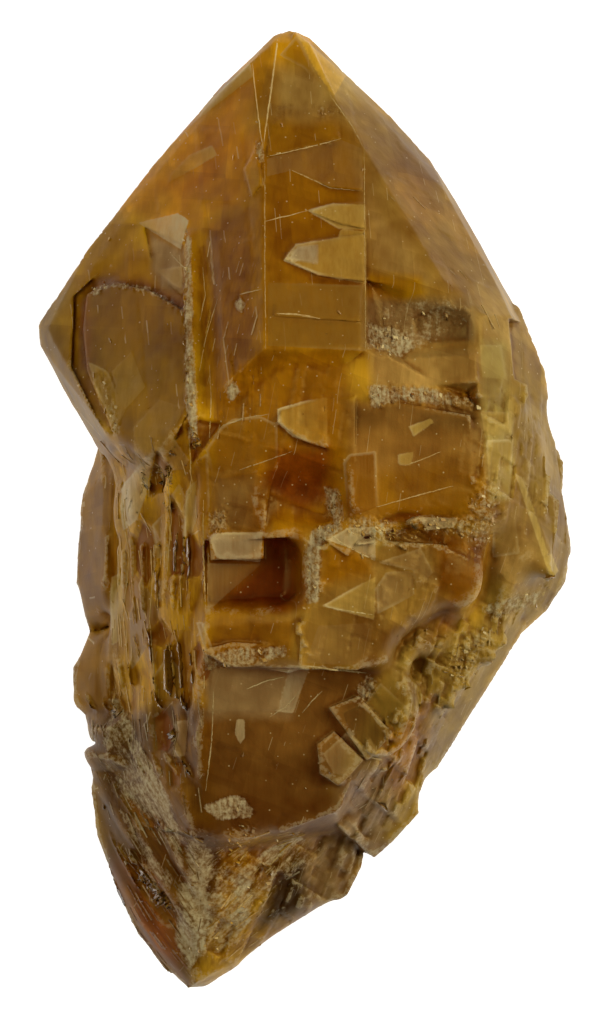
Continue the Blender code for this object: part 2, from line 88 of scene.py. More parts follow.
# Soft patches of body colour: colour, softness in mm, outline. Later ones lie over earlier ones.
bodyZones = {
    "left face": ("leftHoney", 4.0, [(290, 20), (30, 330), (120, 470), (265, 470), (265, 100)]),
    "left face top": ("topHoney", 6.0, [(284, 20), (120, 200), (190, 215), (262, 160), (264, 60)]),
    "wing edge": ("wing", 3.0, [(20, 320), (70, 285), (82, 370), (120, 450), (90, 450)]),
    "apex": ("apexGold", 2.0, [(270, 20), (330, 20), (338, 95), (305, 62), (275, 66)]),
    "front face": ("frontAmber", 1.5, [(262, 70), (330, 80), (366, 150), (366, 352), (262, 352)]),
    "front streak": ("amber", 2.5, [(268, 190), (340, 196), (330, 240), (268, 262)]),
    "front top": ("ledge", 2.0, [(275, 70), (330, 80), (346, 118), (268, 118)]),
    "beside the front": ("ledge", 2.5, [(366, 150), (384, 205), (445, 290), (366, 300)]),
    "right sheen": ("sheen", 3.0, [(340, 60), (520, 290), (540, 350), (470, 340), (385, 205), (338, 105)]),
    "sheen top": ("apexPale", 2.5, [(318, 48), (360, 78), (352, 108), (330, 92)]),
    "dark blotch": ("blush", 3.0, [(395, 165), (428, 178), (440, 215), (420, 222), (400, 195)]),
    "low beige": ("lowBeige", 3.0,
        [(470, 270), (520, 290), (545, 400), (545, 440), (500, 420), (478, 335)]),
    "band": ("leftHoney", 0.8, [(366, 274), (420, 280), (425, 300), (366, 304)]),
    "shelf": ("patch", 1.2, [(366, 300), (470, 300), (474, 345), (400, 350), (366, 345)]),
    "ledge": ("ledge", 1.2, [(370, 348), (480, 345), (480, 392), (374, 388)]),
    "under the ledge": ("deepAmber", 0.8, [(372, 388), (480, 394), (482, 404), (372, 402)]),
    "smooth face": ("blush", 1.0, [(345, 404), (484, 400), (490, 520), (345, 520)]),
    "smooth face low": ("frontAmber", 2.5, [(345, 470), (486, 462), (490, 520), (345, 520)]),
    "smooth face top": ("lower", 2.0, [(345, 402), (484, 400), (486, 432), (345, 432)]),
    "column": ("column", 0.8, [(478, 340), (504, 345), (514, 440), (509, 505), (487, 500)]),
    "right lobe": ("lobe", 2.0, [(510, 330), (580, 430), (580, 600), (500, 630), (480, 600), (515, 500)]),
    "lobe amber": ("ledge", 2.5, [(488, 515), (525, 500), (548, 560), (520, 590), (490, 570)]),
    "centre": ("amber", 1.5, [(212, 352), (345, 350), (345, 530), (208, 530)]),
    "centre left": ("amber", 2.0, [(200, 230), (262, 200), (262, 440), (212, 440)]),
    "left of the block": ("ledge", 2.0, [(208, 484), (250, 484), (250, 530), (208, 530)]),
    "centre deep": ("redAmber", 1.5, [(270, 452), (326, 450), (330, 500), (300, 512), (262, 486)]),
    "block": ("block", 1.2, [(318, 532), (482, 530), (470, 600), (440, 650), (365, 668), (302, 664)]),
    "block left": ("amber", 1.5, [(318, 540), (372, 560), (372, 575), (318, 590)]),
    "block right": ("deepAmber", 1.5, [(430, 535), (482, 535), (480, 572), (440, 600)]),
    "block gap": ("deepAmber", 1.5, [(455, 560), (482, 570), (440, 640), (420, 650), (448, 600)]),
    "recess edge": ("amber", 1.0, [(206, 530), (306, 530), (308, 610), (206, 614)]),
    # the recess is painted dark red-brown: partly the calcite's deeper amber, partly painted shade
    "shadedRecess": ("shadedRecess", 2.0, [(228, 600), (262, 560), (292, 560), (298, 600), (290, 611), (232, 611)]),
    "under the recess": ("frontAmber", 1.0, [(204, 614), (300, 618), (290, 655), (204, 660)]),
    "lower face": ("lower", 1.5, [(204, 660), (385, 668), (335, 835), (195, 835)]),
    "lower face side": ("deepAmber", 1.5, [(196, 700), (212, 690), (206, 830), (190, 830)]),
    "lower top": ("patch", 1.5, [(204, 662), (300, 662), (288, 716), (204, 714)]),
    "low right": ("lobe", 2.0, [(385, 660), (470, 620), (545, 590), (430, 800), (340, 860), (335, 790)]),
    "low right gold": ("frontAmber", 1.5, [(386, 735), (430, 700), (420, 770), (395, 800), (385, 770)]),
    "low right grey": ("patch", 1.8, [(345, 770), (385, 760), (392, 820), (360, 860), (330, 820)]),
    "rear lobe": ("rear", 1.0, [(60, 440), (118, 440), (116, 760), (60, 760)]),
    "blades": ("leftHoney", 1.5, [(118, 440), (212, 440), (206, 700), (112, 720)]),
    "lower left": ("lowerLeft", 2.0, [(88, 720), (200, 700), (225, 860), (190, 1010), (100, 900)]),
    "flank low": ("redAmber", 2.5, [(112, 868), (150, 860), (176, 925), (184, 985), (150, 950)]),
    "bottom dark": ("bottomDark", 2.0, [(268, 870), (312, 850), (318, 905), (262, 930)]),
    "bottom amber": ("patch", 2.0, [(312, 840), (370, 830), (350, 900), (305, 915)]),
    "shield moat": ("deepAmber", 0.8,
        [(78, 300), (100, 276), (150, 282), (192, 308), (190, 330), (120, 300), (96, 320), (92, 372),
         (80, 370)]),
    "shield": ("shield", 0.5,
        [(90, 294), (110, 284), (150, 291), (188, 316), (194, 395), (163, 455), (132, 474), (112, 425),
         (90, 370)]),
    "blush flat": ("patch", 0.8, [(150, 232), (184, 250), (184, 296), (160, 292), (152, 268)]),
    "ridge groove": ("leftHoney", 0.6, [(200, 232), (208, 235), (214, 330), (212, 440), (202, 440)]),
}

# Crisp cleavage flats and blades: colour, strength where it starts and ends, way it fades (x right,
# y down), how white the painted highlight on the edge is where it starts, outline.
flats = {
    "apex facet": ("apexYellow", 1.0, 0.4, (0, 1), 0.2,
        [(296, 33), (307, 56), (318, 76), (334, 97), (346, 76)]),
    "apex triangle": ("frontAmber", 0.6, 0.2, (0, 1), 0.3,
        [(280, 56), (297, 36), (316, 76), (331, 96), (303, 68)]),
    "bevel": ("paleGold", 0.9, 0.6, (0.5, 1), 0.3, [(250, 64), (253, 77), (199, 119), (204, 106)]),
    "left flat": ("paleHoney", 0.5, 0.1, (-1, 0), 0.4,
        [(169, 183), (217, 156), (212, 146), (189, 156), (171, 174)]),
    "wedge": ("paleWhite", 1.0, 0.2, (-1, 0), 0.1, [(138, 223), (181, 250), (189, 221), (178, 214)]),
    "blush step": ("lowBeige", 0.8, 0.3, (-1, 0), 0.2, [(156, 271), (182, 267), (182, 290), (172, 284)]),
    "upper band": ("patch", 0.45, 0.15, (1, 0.6), 0.0,
        [(267, 160), (341, 141), (362, 150), (362, 190), (330, 188), (292, 172), (267, 178)]),
    "flake": ("paleHoney", 0.85, 0.45, (1, 0), 0.7,
        [(308, 212), (332, 205), (365, 206), (366, 232), (338, 230)]),
    "light quad": ("paleGold", 0.85, 0.75, (1, -0.3), 0.9,
        [(284, 262), (296, 246), (338, 239), (340, 231), (366, 233), (366, 285), (336, 280), (318, 276)]),
    "light chip": ("greyWhite", 0.9, 0.6, (1, -0.5), 0.9, [(288, 261), (297, 249), (318, 247), (317, 266)]),
    "lower slab": ("block", 0.85, 0.7, (-1, 0), 0.1, [(268, 284), (366, 287), (366, 352), (268, 347)]),
    "middle plate": ("paleGold", 0.9, 0.2, (1, 0), 0.9,
        [(278, 410), (305, 402), (327, 398), (327, 448), (293, 437), (278, 423)]),
    "arched plate": ("frontAmber", 0.8, 0.3, (0.3, 1), 0.3,
        [(207, 450), (220, 430), (233, 420), (260, 417), (277, 425), (278, 470), (214, 480)]),
    "left of the face": ("deepAmber", 1.0, 0.8, (0, 1), 0.3,
        [(343, 463), (349, 455), (375, 452), (377, 507), (348, 518)]),
    "chip on the face": ("paleHoney", 0.85, 0.5, (1, 0), 0.3,
        [(408, 427), (430, 419), (433, 423), (413, 437)]),
    "small chip": ("paleHoney", 0.75, 0.4, (1, 0), 0.3, [(397, 455), (413, 452), (410, 466), (398, 465)]),
    "flat flake": ("white", 0.7, 0.5, (1, -1), 0.6, [(417, 517), (458, 518), (453, 527), (427, 530)]),
    "face corner": ("amber", 0.7, 0.8, (0, 1), 0.0,
        [(376, 507), (452, 488), (486, 492), (488, 514), (380, 516)]),
    "block triangle": ("greyWhite", 0.75, 0.5, (1, 1), 0.5,
        [(327, 540), (347, 528), (375, 527), (375, 560), (350, 547)]),
    "block wedge": ("paleHoney", 0.8, 0.35, (1, -0.5), 1.0,
        [(323, 605), (345, 592), (375, 576), (374, 619)]),
    "block sheen": ("patch", 0.8, 0.3, (1, -0.4), 0.3,
        [(376, 586), (386, 572), (411, 570), (414, 594), (377, 613)]),
    "block foot": ("patch", 0.4, 0.1, (1, 0), 0.0, [(318, 625), (372, 622), (368, 665), (306, 662)]),
    "block middle": ("patch", 0.5, 0.2, (0, 1), 0.3,
        [(378, 562), (420, 548), (432, 572), (416, 590), (412, 570)]),
    "small box": ("greyWhite", 0.75, 0.5, (0.6, 1), 1.0,
        [(211, 540), (214, 533), (263, 532), (261, 562), (217, 558)]),
    "recess flat": ("patch", 0.85, 0.2, (1, 0.6), 0.2, [(208, 563), (261, 564), (208, 611)]),
    "strip": ("greyWhite", 0.6, 0.4, (1, 0), 0.5, [(289, 664), (310, 666), (293, 712), (276, 710)]),
    "oval mark": ("white", 0.6, 0.5, (0, 1), 0.0,
        [(237, 718), (245, 718), (245, 737), (240, 743), (235, 733)]),
    "lower left flat": ("patch", 0.8, 0.2, (1, 0), 0.0, [(214, 667), (290, 664), (278, 709), (208, 711)]),
    "pale rhomb": ("patch", 0.7, 0.6, (0, 1), 0.2,
        [(323, 753), (346, 732), (373, 755), (353, 778), (333, 772)]),
    "dark rhomb": ("umber", 0.9, 0.9, (0, 1), 0.0,
        [(343, 712), (363, 703), (393, 730), (374, 753), (349, 732)]),
    "upper rhomb": ("lobe", 0.8, 0.6, (0, 1), 0.2, [(365, 703), (380, 682), (413, 713), (397, 730)]),
    "slash": ("paleHoney", 0.6, 0.8, (1, 0), 0.3, [(514, 474), (521, 478), (558, 571), (550, 580)]),
    "column top": ("column", 0.8, 0.5, (0, 1), 0.2, [(479, 346), (500, 346), (505, 380), (481, 378)]),
    "column block": ("apexPale", 0.75, 0.4, (0, 1), 0.2, [(480, 412), (507, 413), (509, 437), (483, 436)]),
    "column foot": ("apexPale", 0.7, 0.6, (0, 1), 0.5, [(485, 441), (512, 440), (508, 494), (489, 497)]),
    "shield rhomb": ("paleGold", 0.25, 0.5, (0, 1), 0.0, [(112, 372), (132, 352), (146, 388), (124, 412)]),
    "shield corner": ("paleGold", 0.6, 0.3, (1, 0), 0.3,
        [(89, 362), (108, 372), (126, 412), (116, 430), (96, 388)]),
    "shield foot": ("paleGold", 0.2, 0.5, (0, 1), 0.0,
        [(134, 428), (160, 400), (186, 408), (160, 456), (136, 470)]),
    "lobe face": ("lowBeige", 0.5, 0.1, (0, 1), 0.0,
        [(520, 470), (536, 420), (556, 470), (566, 530), (548, 556)]),
    "lobe square": ("ledge", 0.7, 0.3, (0, -1), 0.3, [(492, 520), (514, 512), (518, 553), (492, 557)]),
    "left blade": ("greyWhite", 0.8, 0.3, (1, 0), 0.3,
        [(121, 506), (122, 486), (133, 474), (156, 447), (146, 497), (137, 520), (123, 531)]),
    "top blade": ("ledge", 0.8, 0.6, (0, 1), 0.5,
        [(158, 452), (171, 434), (190, 461), (183, 470), (173, 470)]),
    "gold blade": ("paleGold", 0.5, 0.3, (0, 1), 0.2,
        [(171, 497), (180, 484), (185, 495), (183, 520), (173, 504)]),
    "pale blade": ("column", 0.8, 0.5, (1, 0), 0.5,
        [(187, 492), (196, 478), (197, 520), (192, 534), (184, 536)]),
    "amber blade": ("frontAmber", 0.8, 0.6, (-1, 0), 0.4, [(197, 461), (208, 454), (210, 506), (200, 531)]),
    "inner blade": ("ledge", 0.7, 0.4, (1, 0), 0.4, [(153, 525), (166, 512), (168, 552), (159, 558)]),
    "long blade": ("amber", 0.9, 0.9, (1, 0), 0.1,
        [(128, 531), (136, 534), (135, 574), (147, 586), (128, 613), (123, 600), (122, 574)]),
    "edge blade": ("column", 0.7, 0.4, (1, 0), 0.5,
        [(112, 577), (122, 573), (123, 600), (119, 641), (112, 645), (110, 598)]),
    "blush blade": ("lower", 0.8, 0.6, (1, 0), 0.2,
        [(130, 613), (147, 586), (160, 609), (151, 640), (138, 661), (131, 670)]),
    "low blade": ("frontAmber", 0.8, 0.5, (0, 1), 0.5, [(197, 622), (203, 622), (217, 659), (213, 670)]),
    "foot blade": ("lobe", 0.7, 0.5, (0, 1), 0.3,
        [(151, 680), (168, 656), (183, 670), (181, 699), (158, 699)]),
    "pale streak": ("patch", 0.8, 0.5, (1, 0), 0.3, [(176, 721), (189, 719), (185, 755), (174, 756)]),
    "olive lens": ("shield", 0.7, 0.5, (1, 0), 0.0,
        [(103, 753), (124, 757), (140, 776), (128, 782), (106, 770)]),
}

# Gaps where splinters and blocks broke out: colour, strength, depth in mm, outline. The ridge gap and block
# slit take the recess's dark red-brown, partly painted shade.
pockets = {
    "top gap": ("deepAmber", 0.9, 0.5, [(157, 454), (172, 470), (163, 486), (149, 497), (148, 490)]),
    "ridge gap": ("shadedRecess", 0.9, 0.5, [(190, 426), (201, 420), (220, 425), (204, 450), (192, 465)]),
    "middle gap": ("redAmber", 0.9, 0.5, [(171, 497), (183, 520), (182, 573), (171, 575), (168, 540)]),
    "left gap": ("redAmber", 0.9, 0.4,
        [(144, 521), (153, 534), (156, 552), (158, 563), (147, 584), (137, 570), (136, 546)]),
    "right gap": ("redAmber", 0.8, 0.2,
        [(188, 529), (200, 548), (208, 538), (206, 563), (199, 577), (184, 575)]),
    "low gap": ("redAmber", 0.8, 0.3, [(146, 641), (160, 620), (169, 634), (163, 647)]),
    "slanted gap": ("redAmber", 0.8, 0.3, [(192, 650), (200, 641), (211, 670), (208, 679), (201, 681)]),
    "foot gap": ("redAmber", 0.9, 0.4, [(155, 719), (166, 706), (175, 733), (168, 751), (158, 749)]),
    "small gap": ("deepAmber", 0.8, 0.3, [(171, 762), (183, 762), (181, 784), (174, 786)]),
    "flank gap": ("deepAmber", 0.8, 0.3, [(124, 794), (134, 801), (157, 827), (152, 829), (130, 811)]),
    "flank crack": ("umber", 0.7, 0.2, [(132, 829), (139, 836), (151, 860), (146, 860), (134, 841)]),
    "flank slit": ("deepAmber", 0.9, 0.5,
        [(128, 864), (144, 868), (173, 905), (173, 923), (165, 923), (138, 890)]),
    "block slit": ("shadedRecess", 0.6, 0.2, [(378, 520), (400, 512), (424, 514), (410, 520), (380, 526)]),
    "shelf gap": ("umber", 0.35, 0.2,
        [(412, 318), (440, 308), (470, 314), (466, 340), (430, 344), (416, 334)]),
}

# Fine pale lines where a cleavage plane meets the surface, partly a painted highlight along that edge: width
# in mm, strength, places along it.
cleavageLineHighlights = [
    (0.16, 0.8, [(279, 30), (271, 92), (263, 150)]),
    (0.14, 0.7, [(252, 60), (257, 105), (263, 150)]),
    (0.12, 0.35, [(265, 165), (265, 260), (266, 350)]),
    (0.12, 0.30, [(364, 150), (364, 230), (365, 350)]),
    (0.18, 0.75, [(267, 158), (300, 150), (341, 140)]),
    (0.14, 0.6, [(292, 172), (330, 189), (360, 192)]),
    (0.14, 0.6, [(265, 223), (290, 217), (308, 212)]),
    (0.22, 0.8, [(277, 315), (296, 316), (320, 320)]),
    (0.14, 0.55, [(376, 507), (412, 497), (452, 486)]),
    (0.12, 0.5, [(203, 268), (206, 296), (200, 322)]),
    (0.12, 0.5, [(210, 366), (212, 400), (210, 440)]),
    (0.12, 0.45, [(218, 300), (206, 340), (200, 372)]),
    (0.14, 0.6, [(240, 296), (252, 293), (262, 291)]),
    (0.14, 0.55, [(214, 437), (224, 426), (244, 419), (268, 415)]),
    (0.16, 0.7, [(325, 531), (346, 546), (374, 560)]),
    (0.16, 0.7, [(322, 605), (346, 610), (372, 614)]),
    (0.12, 0.5, [(240, 470), (264, 462), (292, 452)]),
    (0.14, 0.6, [(204, 500), (204, 560), (206, 608)]),
    (0.20, 0.75, [(300, 664), (330, 668), (366, 672)]),
    (0.14, 0.6, [(247, 688), (266, 680), (284, 676)]),
    (0.12, 0.55, [(214, 690), (212, 740), (206, 790)]),
    (0.12, 0.5, [(302, 712), (312, 700), (322, 690)]),
    (0.12, 0.45, [(270, 716), (286, 706), (300, 690)]),
    (0.12, 0.45, [(330, 96), (352, 128), (364, 150)]),
    (0.12, 0.45, [(404, 466), (420, 460), (440, 452)]),
    (0.14, 0.5, [(172, 255), (184, 268), (188, 290)]),
    (0.14, 0.6, [(168, 470), (172, 520), (168, 570)]),
    (0.14, 0.6, [(190, 440), (192, 480), (186, 516)]),
    (0.14, 0.6, [(122, 500), (130, 560), (120, 640)]),
    (0.14, 0.55, [(155, 560), (150, 620), (156, 690)]),
]

# Crushed, whitish ground: how white, how many crumbs for each square mm, softness in mm, outline.
# More than one crumb for each square mm breaks the ground no further.
crushedZones = {
    "shelf": (0.45, 0.25, 1.2, [(366, 306), (440, 296), (470, 306), (468, 330), (420, 352), (368, 350)]),
    "shelf white": (0.9, 0.9, 0.8, [(366, 322), (400, 330), (415, 348), (400, 358), (366, 350)]),
    "under the ledge": (0.6, 0.8, 0.6,
        [(368, 384), (430, 388), (476, 400), (476, 410), (400, 402), (370, 410)]),
    "white corner": (0.95, 1.6, 0.6, [(368, 388), (386, 390), (384, 404), (370, 408)]),
    "left ridge": (0.90, 1.2, 0.5,
        [(186, 226), (192, 240), (194, 330), (199, 440), (188, 440), (184, 320)]),
    "shield rim": (0.6, 0.7, 0.4,
        [(88, 292), (108, 280), (150, 286), (188, 310), (186, 318), (150, 294), (112, 288), (94, 298)]),
    "shield crumbs": (0.5, 0.8, 1.0, [(96, 372), (106, 370), (122, 430), (114, 440)]),
    "step": (0.5, 1.2, 0.8, [(346, 514), (400, 520), (470, 514), (474, 534), (400, 540), (346, 534)]),
    "block edge": (0.9, 1.6, 0.6,
        [(304, 552), (312, 530), (340, 520), (342, 530), (322, 542), (320, 600), (306, 604)]),
    "floor of the recess": (0.8, 0.8, 0.6,
        [(204, 655), (232, 646), (286, 644), (290, 656), (250, 664), (206, 670)]),
    "white patch": (1.0, 0.3, 0.5,
        [(201, 805), (230, 794), (244, 794), (257, 811), (250, 818), (218, 820)]),
    "gold lump": (0.35, 1.0, 0.8, [(230, 823), (257, 821), (255, 843), (228, 851)]),
    "bottom veil": (0.60, 0.15, 2.0,
        [(186, 820), (262, 850), (300, 830), (322, 860), (262, 900), (240, 950), (214, 960), (192, 900)]),
    "bottom spine": (1.0, 0.1, 1.2,
        [(178, 880), (208, 880), (213, 920), (206, 950), (190, 972), (177, 945)]),
    "upper spine": (0.95, 0.1, 1.2, [(183, 843), (197, 831), (218, 853), (205, 900), (190, 880)]),
    "left flank veil": (0.65, 0.1, 1.5,
        [(98, 730), (112, 700), (140, 760), (186, 830), (186, 880), (150, 820), (104, 790)]),
    "flank streak": (0.9, 0.1, 0.6,
        [(108, 700), (118, 696), (150, 760), (170, 800), (186, 842), (176, 842), (140, 780)]),
    "flank bulge": (0.9, 0.1, 0.6, [(100, 733), (108, 729), (117, 747), (104, 753)]),
    "low flank streak": (0.7, 0.1, 0.6,
        [(112, 800), (122, 806), (150, 845), (176, 880), (170, 890), (140, 862)]),
    "foot streak": (0.85, 0.1, 0.6,
        [(230, 880), (262, 850), (300, 832), (308, 841), (262, 872), (236, 906)]),
    "foot crust": (0.9, 0.2, 0.5, [(228, 915), (246, 905), (252, 920), (236, 940)]),
    "left edge veil": (0.45, 0.1, 1.2, [(110, 640), (122, 640), (132, 690), (116, 740), (98, 730)]),
    "column crumbs": (0.45, 0.8, 0.8, [(466, 500), (496, 470), (500, 520), (478, 560), (464, 548)]),
    "right veins": (0.55, 0.5, 0.8, [(478, 606), (520, 592), (544, 590), (536, 606), (490, 622)]),
    "blade crust": (0.5, 0.4, 1.0,
        [(151, 579), (169, 573), (181, 581), (178, 600), (160, 606), (151, 598)]),
    "centre crumbs": (0.7, 1.2, 0.6, [(207, 512), (226, 506), (228, 530), (208, 534)]),
    "inner crumbs": (0.6, 1.4, 0.5, [(324, 486), (338, 490), (346, 522), (334, 524), (324, 504)]),
    "white spot": (1.0, 0.8, 0.4, [(234, 303), (240, 297), (247, 305), (243, 314), (236, 312)]),
    "white spot below": (1.0, 0.8, 0.4, [(228, 388), (234, 382), (240, 392), (234, 402), (228, 399)]),
    "ridge chip": (0.8, 1.2, 0.4, [(255, 142), (262, 142), (266, 160), (262, 170), (256, 158)]),
    "scuff": (0.4, 0.3, 0.8, [(270, 106), (296, 100), (292, 118), (272, 128)]),
    "right scuff": (0.5, 0.3, 0.8, [(308, 104), (340, 106), (344, 118), (318, 122)]),
    "rhomb crumbs": (0.6, 0.8, 0.8, [(352, 690), (368, 670), (380, 680), (372, 700), (356, 708)]),
    "low right crumbs": (0.35, 0.8, 1.2, [(440, 650), (490, 620), (500, 630), (470, 680), (450, 690)]),
}

# Where slivers lie on the surface: number for each square mm, softness in mm, outline.
fibrousZones = {
    "blades": (0.6, 1.5, [(112, 445), (205, 445), (205, 745), (100, 745)]),
    "left flank": (0.9, 1.5, [(84, 720), (196, 740), (200, 985), (150, 960)]),
    "left of the front": (0.35, 1.0, [(200, 240), (262, 220), (262, 430), (204, 440)]),
    "bottom right": (0.7, 1.5, [(205, 850), (300, 830), (330, 850), (260, 950), (210, 970)]),
    "right sheen": (0.10, 2.0, [(345, 90), (520, 300), (500, 340), (385, 205)]),
    "low right": (0.35, 1.5, [(430, 650), (520, 600), (440, 720), (400, 800), (350, 820), (350, 770)]),
}

# How far the fine streaks turn from the crystal's length, anticlockwise: degrees and outline.
grainZones = {
    "right sheen": (37, [(340, 60), (530, 290), (560, 400), (500, 400), (385, 205), (338, 105)]),
    "left flank": (35, [(90, 740), (130, 720), (200, 830), (190, 1000), (90, 900)]),
    "bottom right": (-42, [(200, 860), (260, 830), (400, 790), (380, 900), (220, 980)]),
}


# Shapes

surface = {
    "octreeDepth": 9,
    "triangles": 192000,
    "restFade": 2.0,  # the breaks fade out over this height above the rest face, mm
    "wash": 0.06,  # soft unevenness of the acid-washed faces, mm
    "washLumps": (5.0, 1.3),  # size of its lumps, mm
    "faceStep": 0.07,  # height of the small cleavage steps on the smooth faces, mm
    "faceCells": (4.2, 2.8, 60.0),  # size of those steps along the three cleavage edges, mm
    "sideBlocks": ((6.5, 1.2, 31), (2.6, 0.5, 32)),  # size and depth of broken side blocks in mm, seed
    "washedEnd": (16.0, 20.0),  # the side blocks fade from this y over this length in mm
    "rhombShape": (1.0, 0.7, 60.0),  # blocks on the worn zones, along the three cleavage edges
    "rhombParts": (1.0, 0.36),  # large blocks, and smaller ones on them
    "crushed": 0.50,  # height of the broken ground in the crushed zones, mm
    "crushedCells": (0.9, 0.8),  # size of that broken ground in its two directions, mm
    "flatRise": 0.08,  # how far a crisp flat stands up, mm
    "blades": ((2.6, 15.0, 0.80, 11), (0.9, 9.0, 0.20, 12)),  # width, length, depth in mm, and seed
    "bladeLayer": 4.0,  # blades this far apart in height differ, mm
    "melting": 560,  # rounds of smoothing in the worn zones
    "levels": 8,  # steps of wear between none and full
}
# One seed for each random pattern that has no table of its own
seeds = {
    "wash": (5, 6), "faceSteps": 7, "crushed": (33, 34), "rhombs": 35, "body": (41, 42), "wander": (43, 44),
    "cloud": (51, 52, 53), "wobble": 61, "width": 62, "tone": 63,
}
# Where the surface split into blades: the way they run (x, y, z), outline.
splinteredZones = {
    "blades": ((0.02, 1.0, 0.0), [(112, 450), (205, 450), (205, 745), (100, 745)]),
    "left flank": ((-0.55, 1.0, 0.1), [(82, 700), (196, 760), (196, 1000), (80, 1000)]),
}
# Where acid wore the breaks down to soft lumps: how far, softness in mm, outline.
wornZones = {
    "column": (1.0, 1.5, [(476, 405), (552, 405), (545, 470), (520, 525), (478, 520)]),
    "notch": (1.0, 2.0,
        [(450, 500), (520, 490), (565, 560), (500, 600), (440, 612), (395, 690), (365, 665), (420, 600),
         (455, 560)]),
    "low right": (1.0, 2.0,
        [(425, 605), (525, 595), (440, 720), (420, 800), (370, 835), (345, 790), (395, 750), (415, 690)]),
    "rear": (1.0, 1.5, [(66, 590), (126, 590), (126, 660), (66, 660)]),
    "moat": (1.0, 1.0, [(96, 270), (112, 260), (168, 264), (164, 284), (110, 281), (96, 286)]),
    "shadedRecess": (0.7, 1.0, [(290, 530), (312, 530), (312, 615), (200, 622), (200, 606), (290, 600)]),
    "bottom": (1.0, 2.0, [(200, 845), (330, 845), (330, 940), (200, 965)]),
    "blades": (1.0, 1.5, [(108, 440), (202, 440), (202, 530), (108, 530)]),
    "centre": (1.0, 1.5, [(203, 420), (248, 420), (248, 532), (203, 532)]),
    "hollow": (0.8, 1.5, [(262, 455), (345, 455), (345, 530), (262, 530)]),
    "shelf": (0.6, 1.5, [(366, 290), (476, 290), (476, 350), (366, 350)]),
    "ridge groove": (0.8, 1.0, [(196, 232), (214, 236), (224, 440), (196, 440)]),
    "step": (0.7, 1.0, [(338, 512), (482, 512), (482, 538), (338, 538)]),
    "low patch": (1.0, 1.0, [(196, 778), (278, 778), (278, 845), (196, 845)]),
    "rear notch": (1.0, 1.5, [(70, 715), (130, 715), (130, 780), (70, 780)]),
}
# Blocky ground left on the worn zones: step and block size in mm, outline.
blockyZones = {
    "column": (0.55, 3.4, [(474, 400), (548, 400), (545, 470), (520, 530), (474, 520)]),
    "right lobe": (0.35, 5.0, [(500, 480), (570, 480), (560, 610), (480, 625)]),
    "low right": (1.20, 3.6,
        [(400, 640), (520, 600), (440, 720), (420, 800), (360, 850), (345, 790), (400, 740)]),
    "centre": (0.40, 4.4, [(205, 350), (345, 350), (345, 530), (205, 530)]),
    "block": (0.35, 4.0, [(306, 530), (480, 530), (440, 650), (306, 660)]),
    "bottom": (0.70, 3.2, [(200, 840), (370, 820), (340, 930), (205, 970)]),
    "left face": (0.22, 5.4, [(60, 300), (262, 170), (262, 430), (120, 470)]),
}
# Where the ground swells over the solid: mm, softness in mm, outline.
swells = {
    "rear notch": (1.3, 1.5, [(90, 720), (122, 720), (122, 764), (90, 764)]),
}


def onSheet(outline):
    # An outline from the sheet, as x and y in mm.
    across, down = sheet["originAt"]
    return [((x - across) * sheet["unitMm"], (down - y) * sheet["unitMm"]) for x, y in outline]


def hashed(cells, seed):
    # A steady pseudo-random number from 0 to 1 for each whole-numbered cell.
    mixed = cells[:, 0] * 73856093 ^ cells[:, 1] * 19349663 ^ cells[:, 2] * 83492791
    mixed ^= seed * 2654435761
    mixed = (mixed ^ (mixed >> 13)) * 1274126177 & 0xFFFFFFFF
    mixed = (mixed ^ (mixed >> 16)) & 0xFFFFFF
    return mixed / 0xFFFFFF


def softNoise(points, size, seed):
    # Smooth noise from -1 to 1 in lumps of that size.
    scaled = points / np.asarray(size)
    cells = np.floor(scaled).astype(np.int64)
    part = scaled - cells
    part = part * part * (3 - 2 * part)
    total = np.zeros(len(points))
    for corner in range(8):
        step = np.array([corner & 1, corner >> 1 & 1, corner >> 2 & 1])
        weight = np.prod(np.where(step, part, 1 - part), axis=1)
        total += weight * hashed(cells + step, seed)
    return total * 2 - 1


def insideBy(points, outline):
    # How far each point lies inside a sheet outline, in mm; negative outside it.
    x, y = points[:, 0], points[:, 1]
    inside = np.zeros(len(points), bool)
    nearest = np.full(len(points), 1e9)
    corners = onSheet(outline)
    for (ax, ay), (bx, by) in zip(corners, corners[1:] + corners[:1]):
        rise = by - ay if by != ay else 1e-9
        inside ^= ((ay > y) != (by > y)) & (x < (bx - ax) * (y - ay) / rise + ax)
        along = ((x - ax) * (bx - ax) + (y - ay) * (by - ay)) / ((bx - ax) ** 2 + (by - ay) ** 2)
        along = np.clip(along, 0, 1)
        nearest = np.minimum(nearest, np.hypot(x - ax - along * (bx - ax), y - ay - along * (by - ay)))
    return np.where(inside, nearest, -nearest)


def softInside(points, outline, softness):
    return np.clip(insideBy(points, outline) / softness + 0.5, 0, 1)


def facingUp(points, normals):
    # 1 on what is seen from above, 0 on the steep sides and the back.
    return np.clip(normals[:, 2] * 4 + 0.4, 0, 1) * np.clip((points[:, 2] - 3) / 4, 0, 1)


def readPoints(mesh, name="co"):
    values = np.empty(len(mesh.vertices) * 3, np.float32)
    mesh.vertices.foreach_get(name, values)
    return values.reshape(-1, 3).astype(float)


def writePoints(mesh, points):
    mesh.vertices.foreach_set("co", (points * mm).astype(np.float32).ravel())
    mesh.update()


def storeValues(mesh, name, values):
    # Values for each vertex: single numbers, places, or colours.
    if values.ndim == 1:
        layer = mesh.attributes.new(name, "FLOAT", "POINT")
        layer.data.foreach_set("value", values.astype(np.float32))
    elif name.startswith("grain"):
        layer = mesh.attributes.new(name, "FLOAT_VECTOR", "POINT")
        layer.data.foreach_set("vector", values.astype(np.float32).ravel())
    else:
        layer = mesh.attributes.new(name, "FLOAT_COLOR", "POINT")
        opaque = np.hstack([values, np.ones((len(values), 1))])
        layer.data.foreach_set("color", opaque.astype(np.float32).ravel())


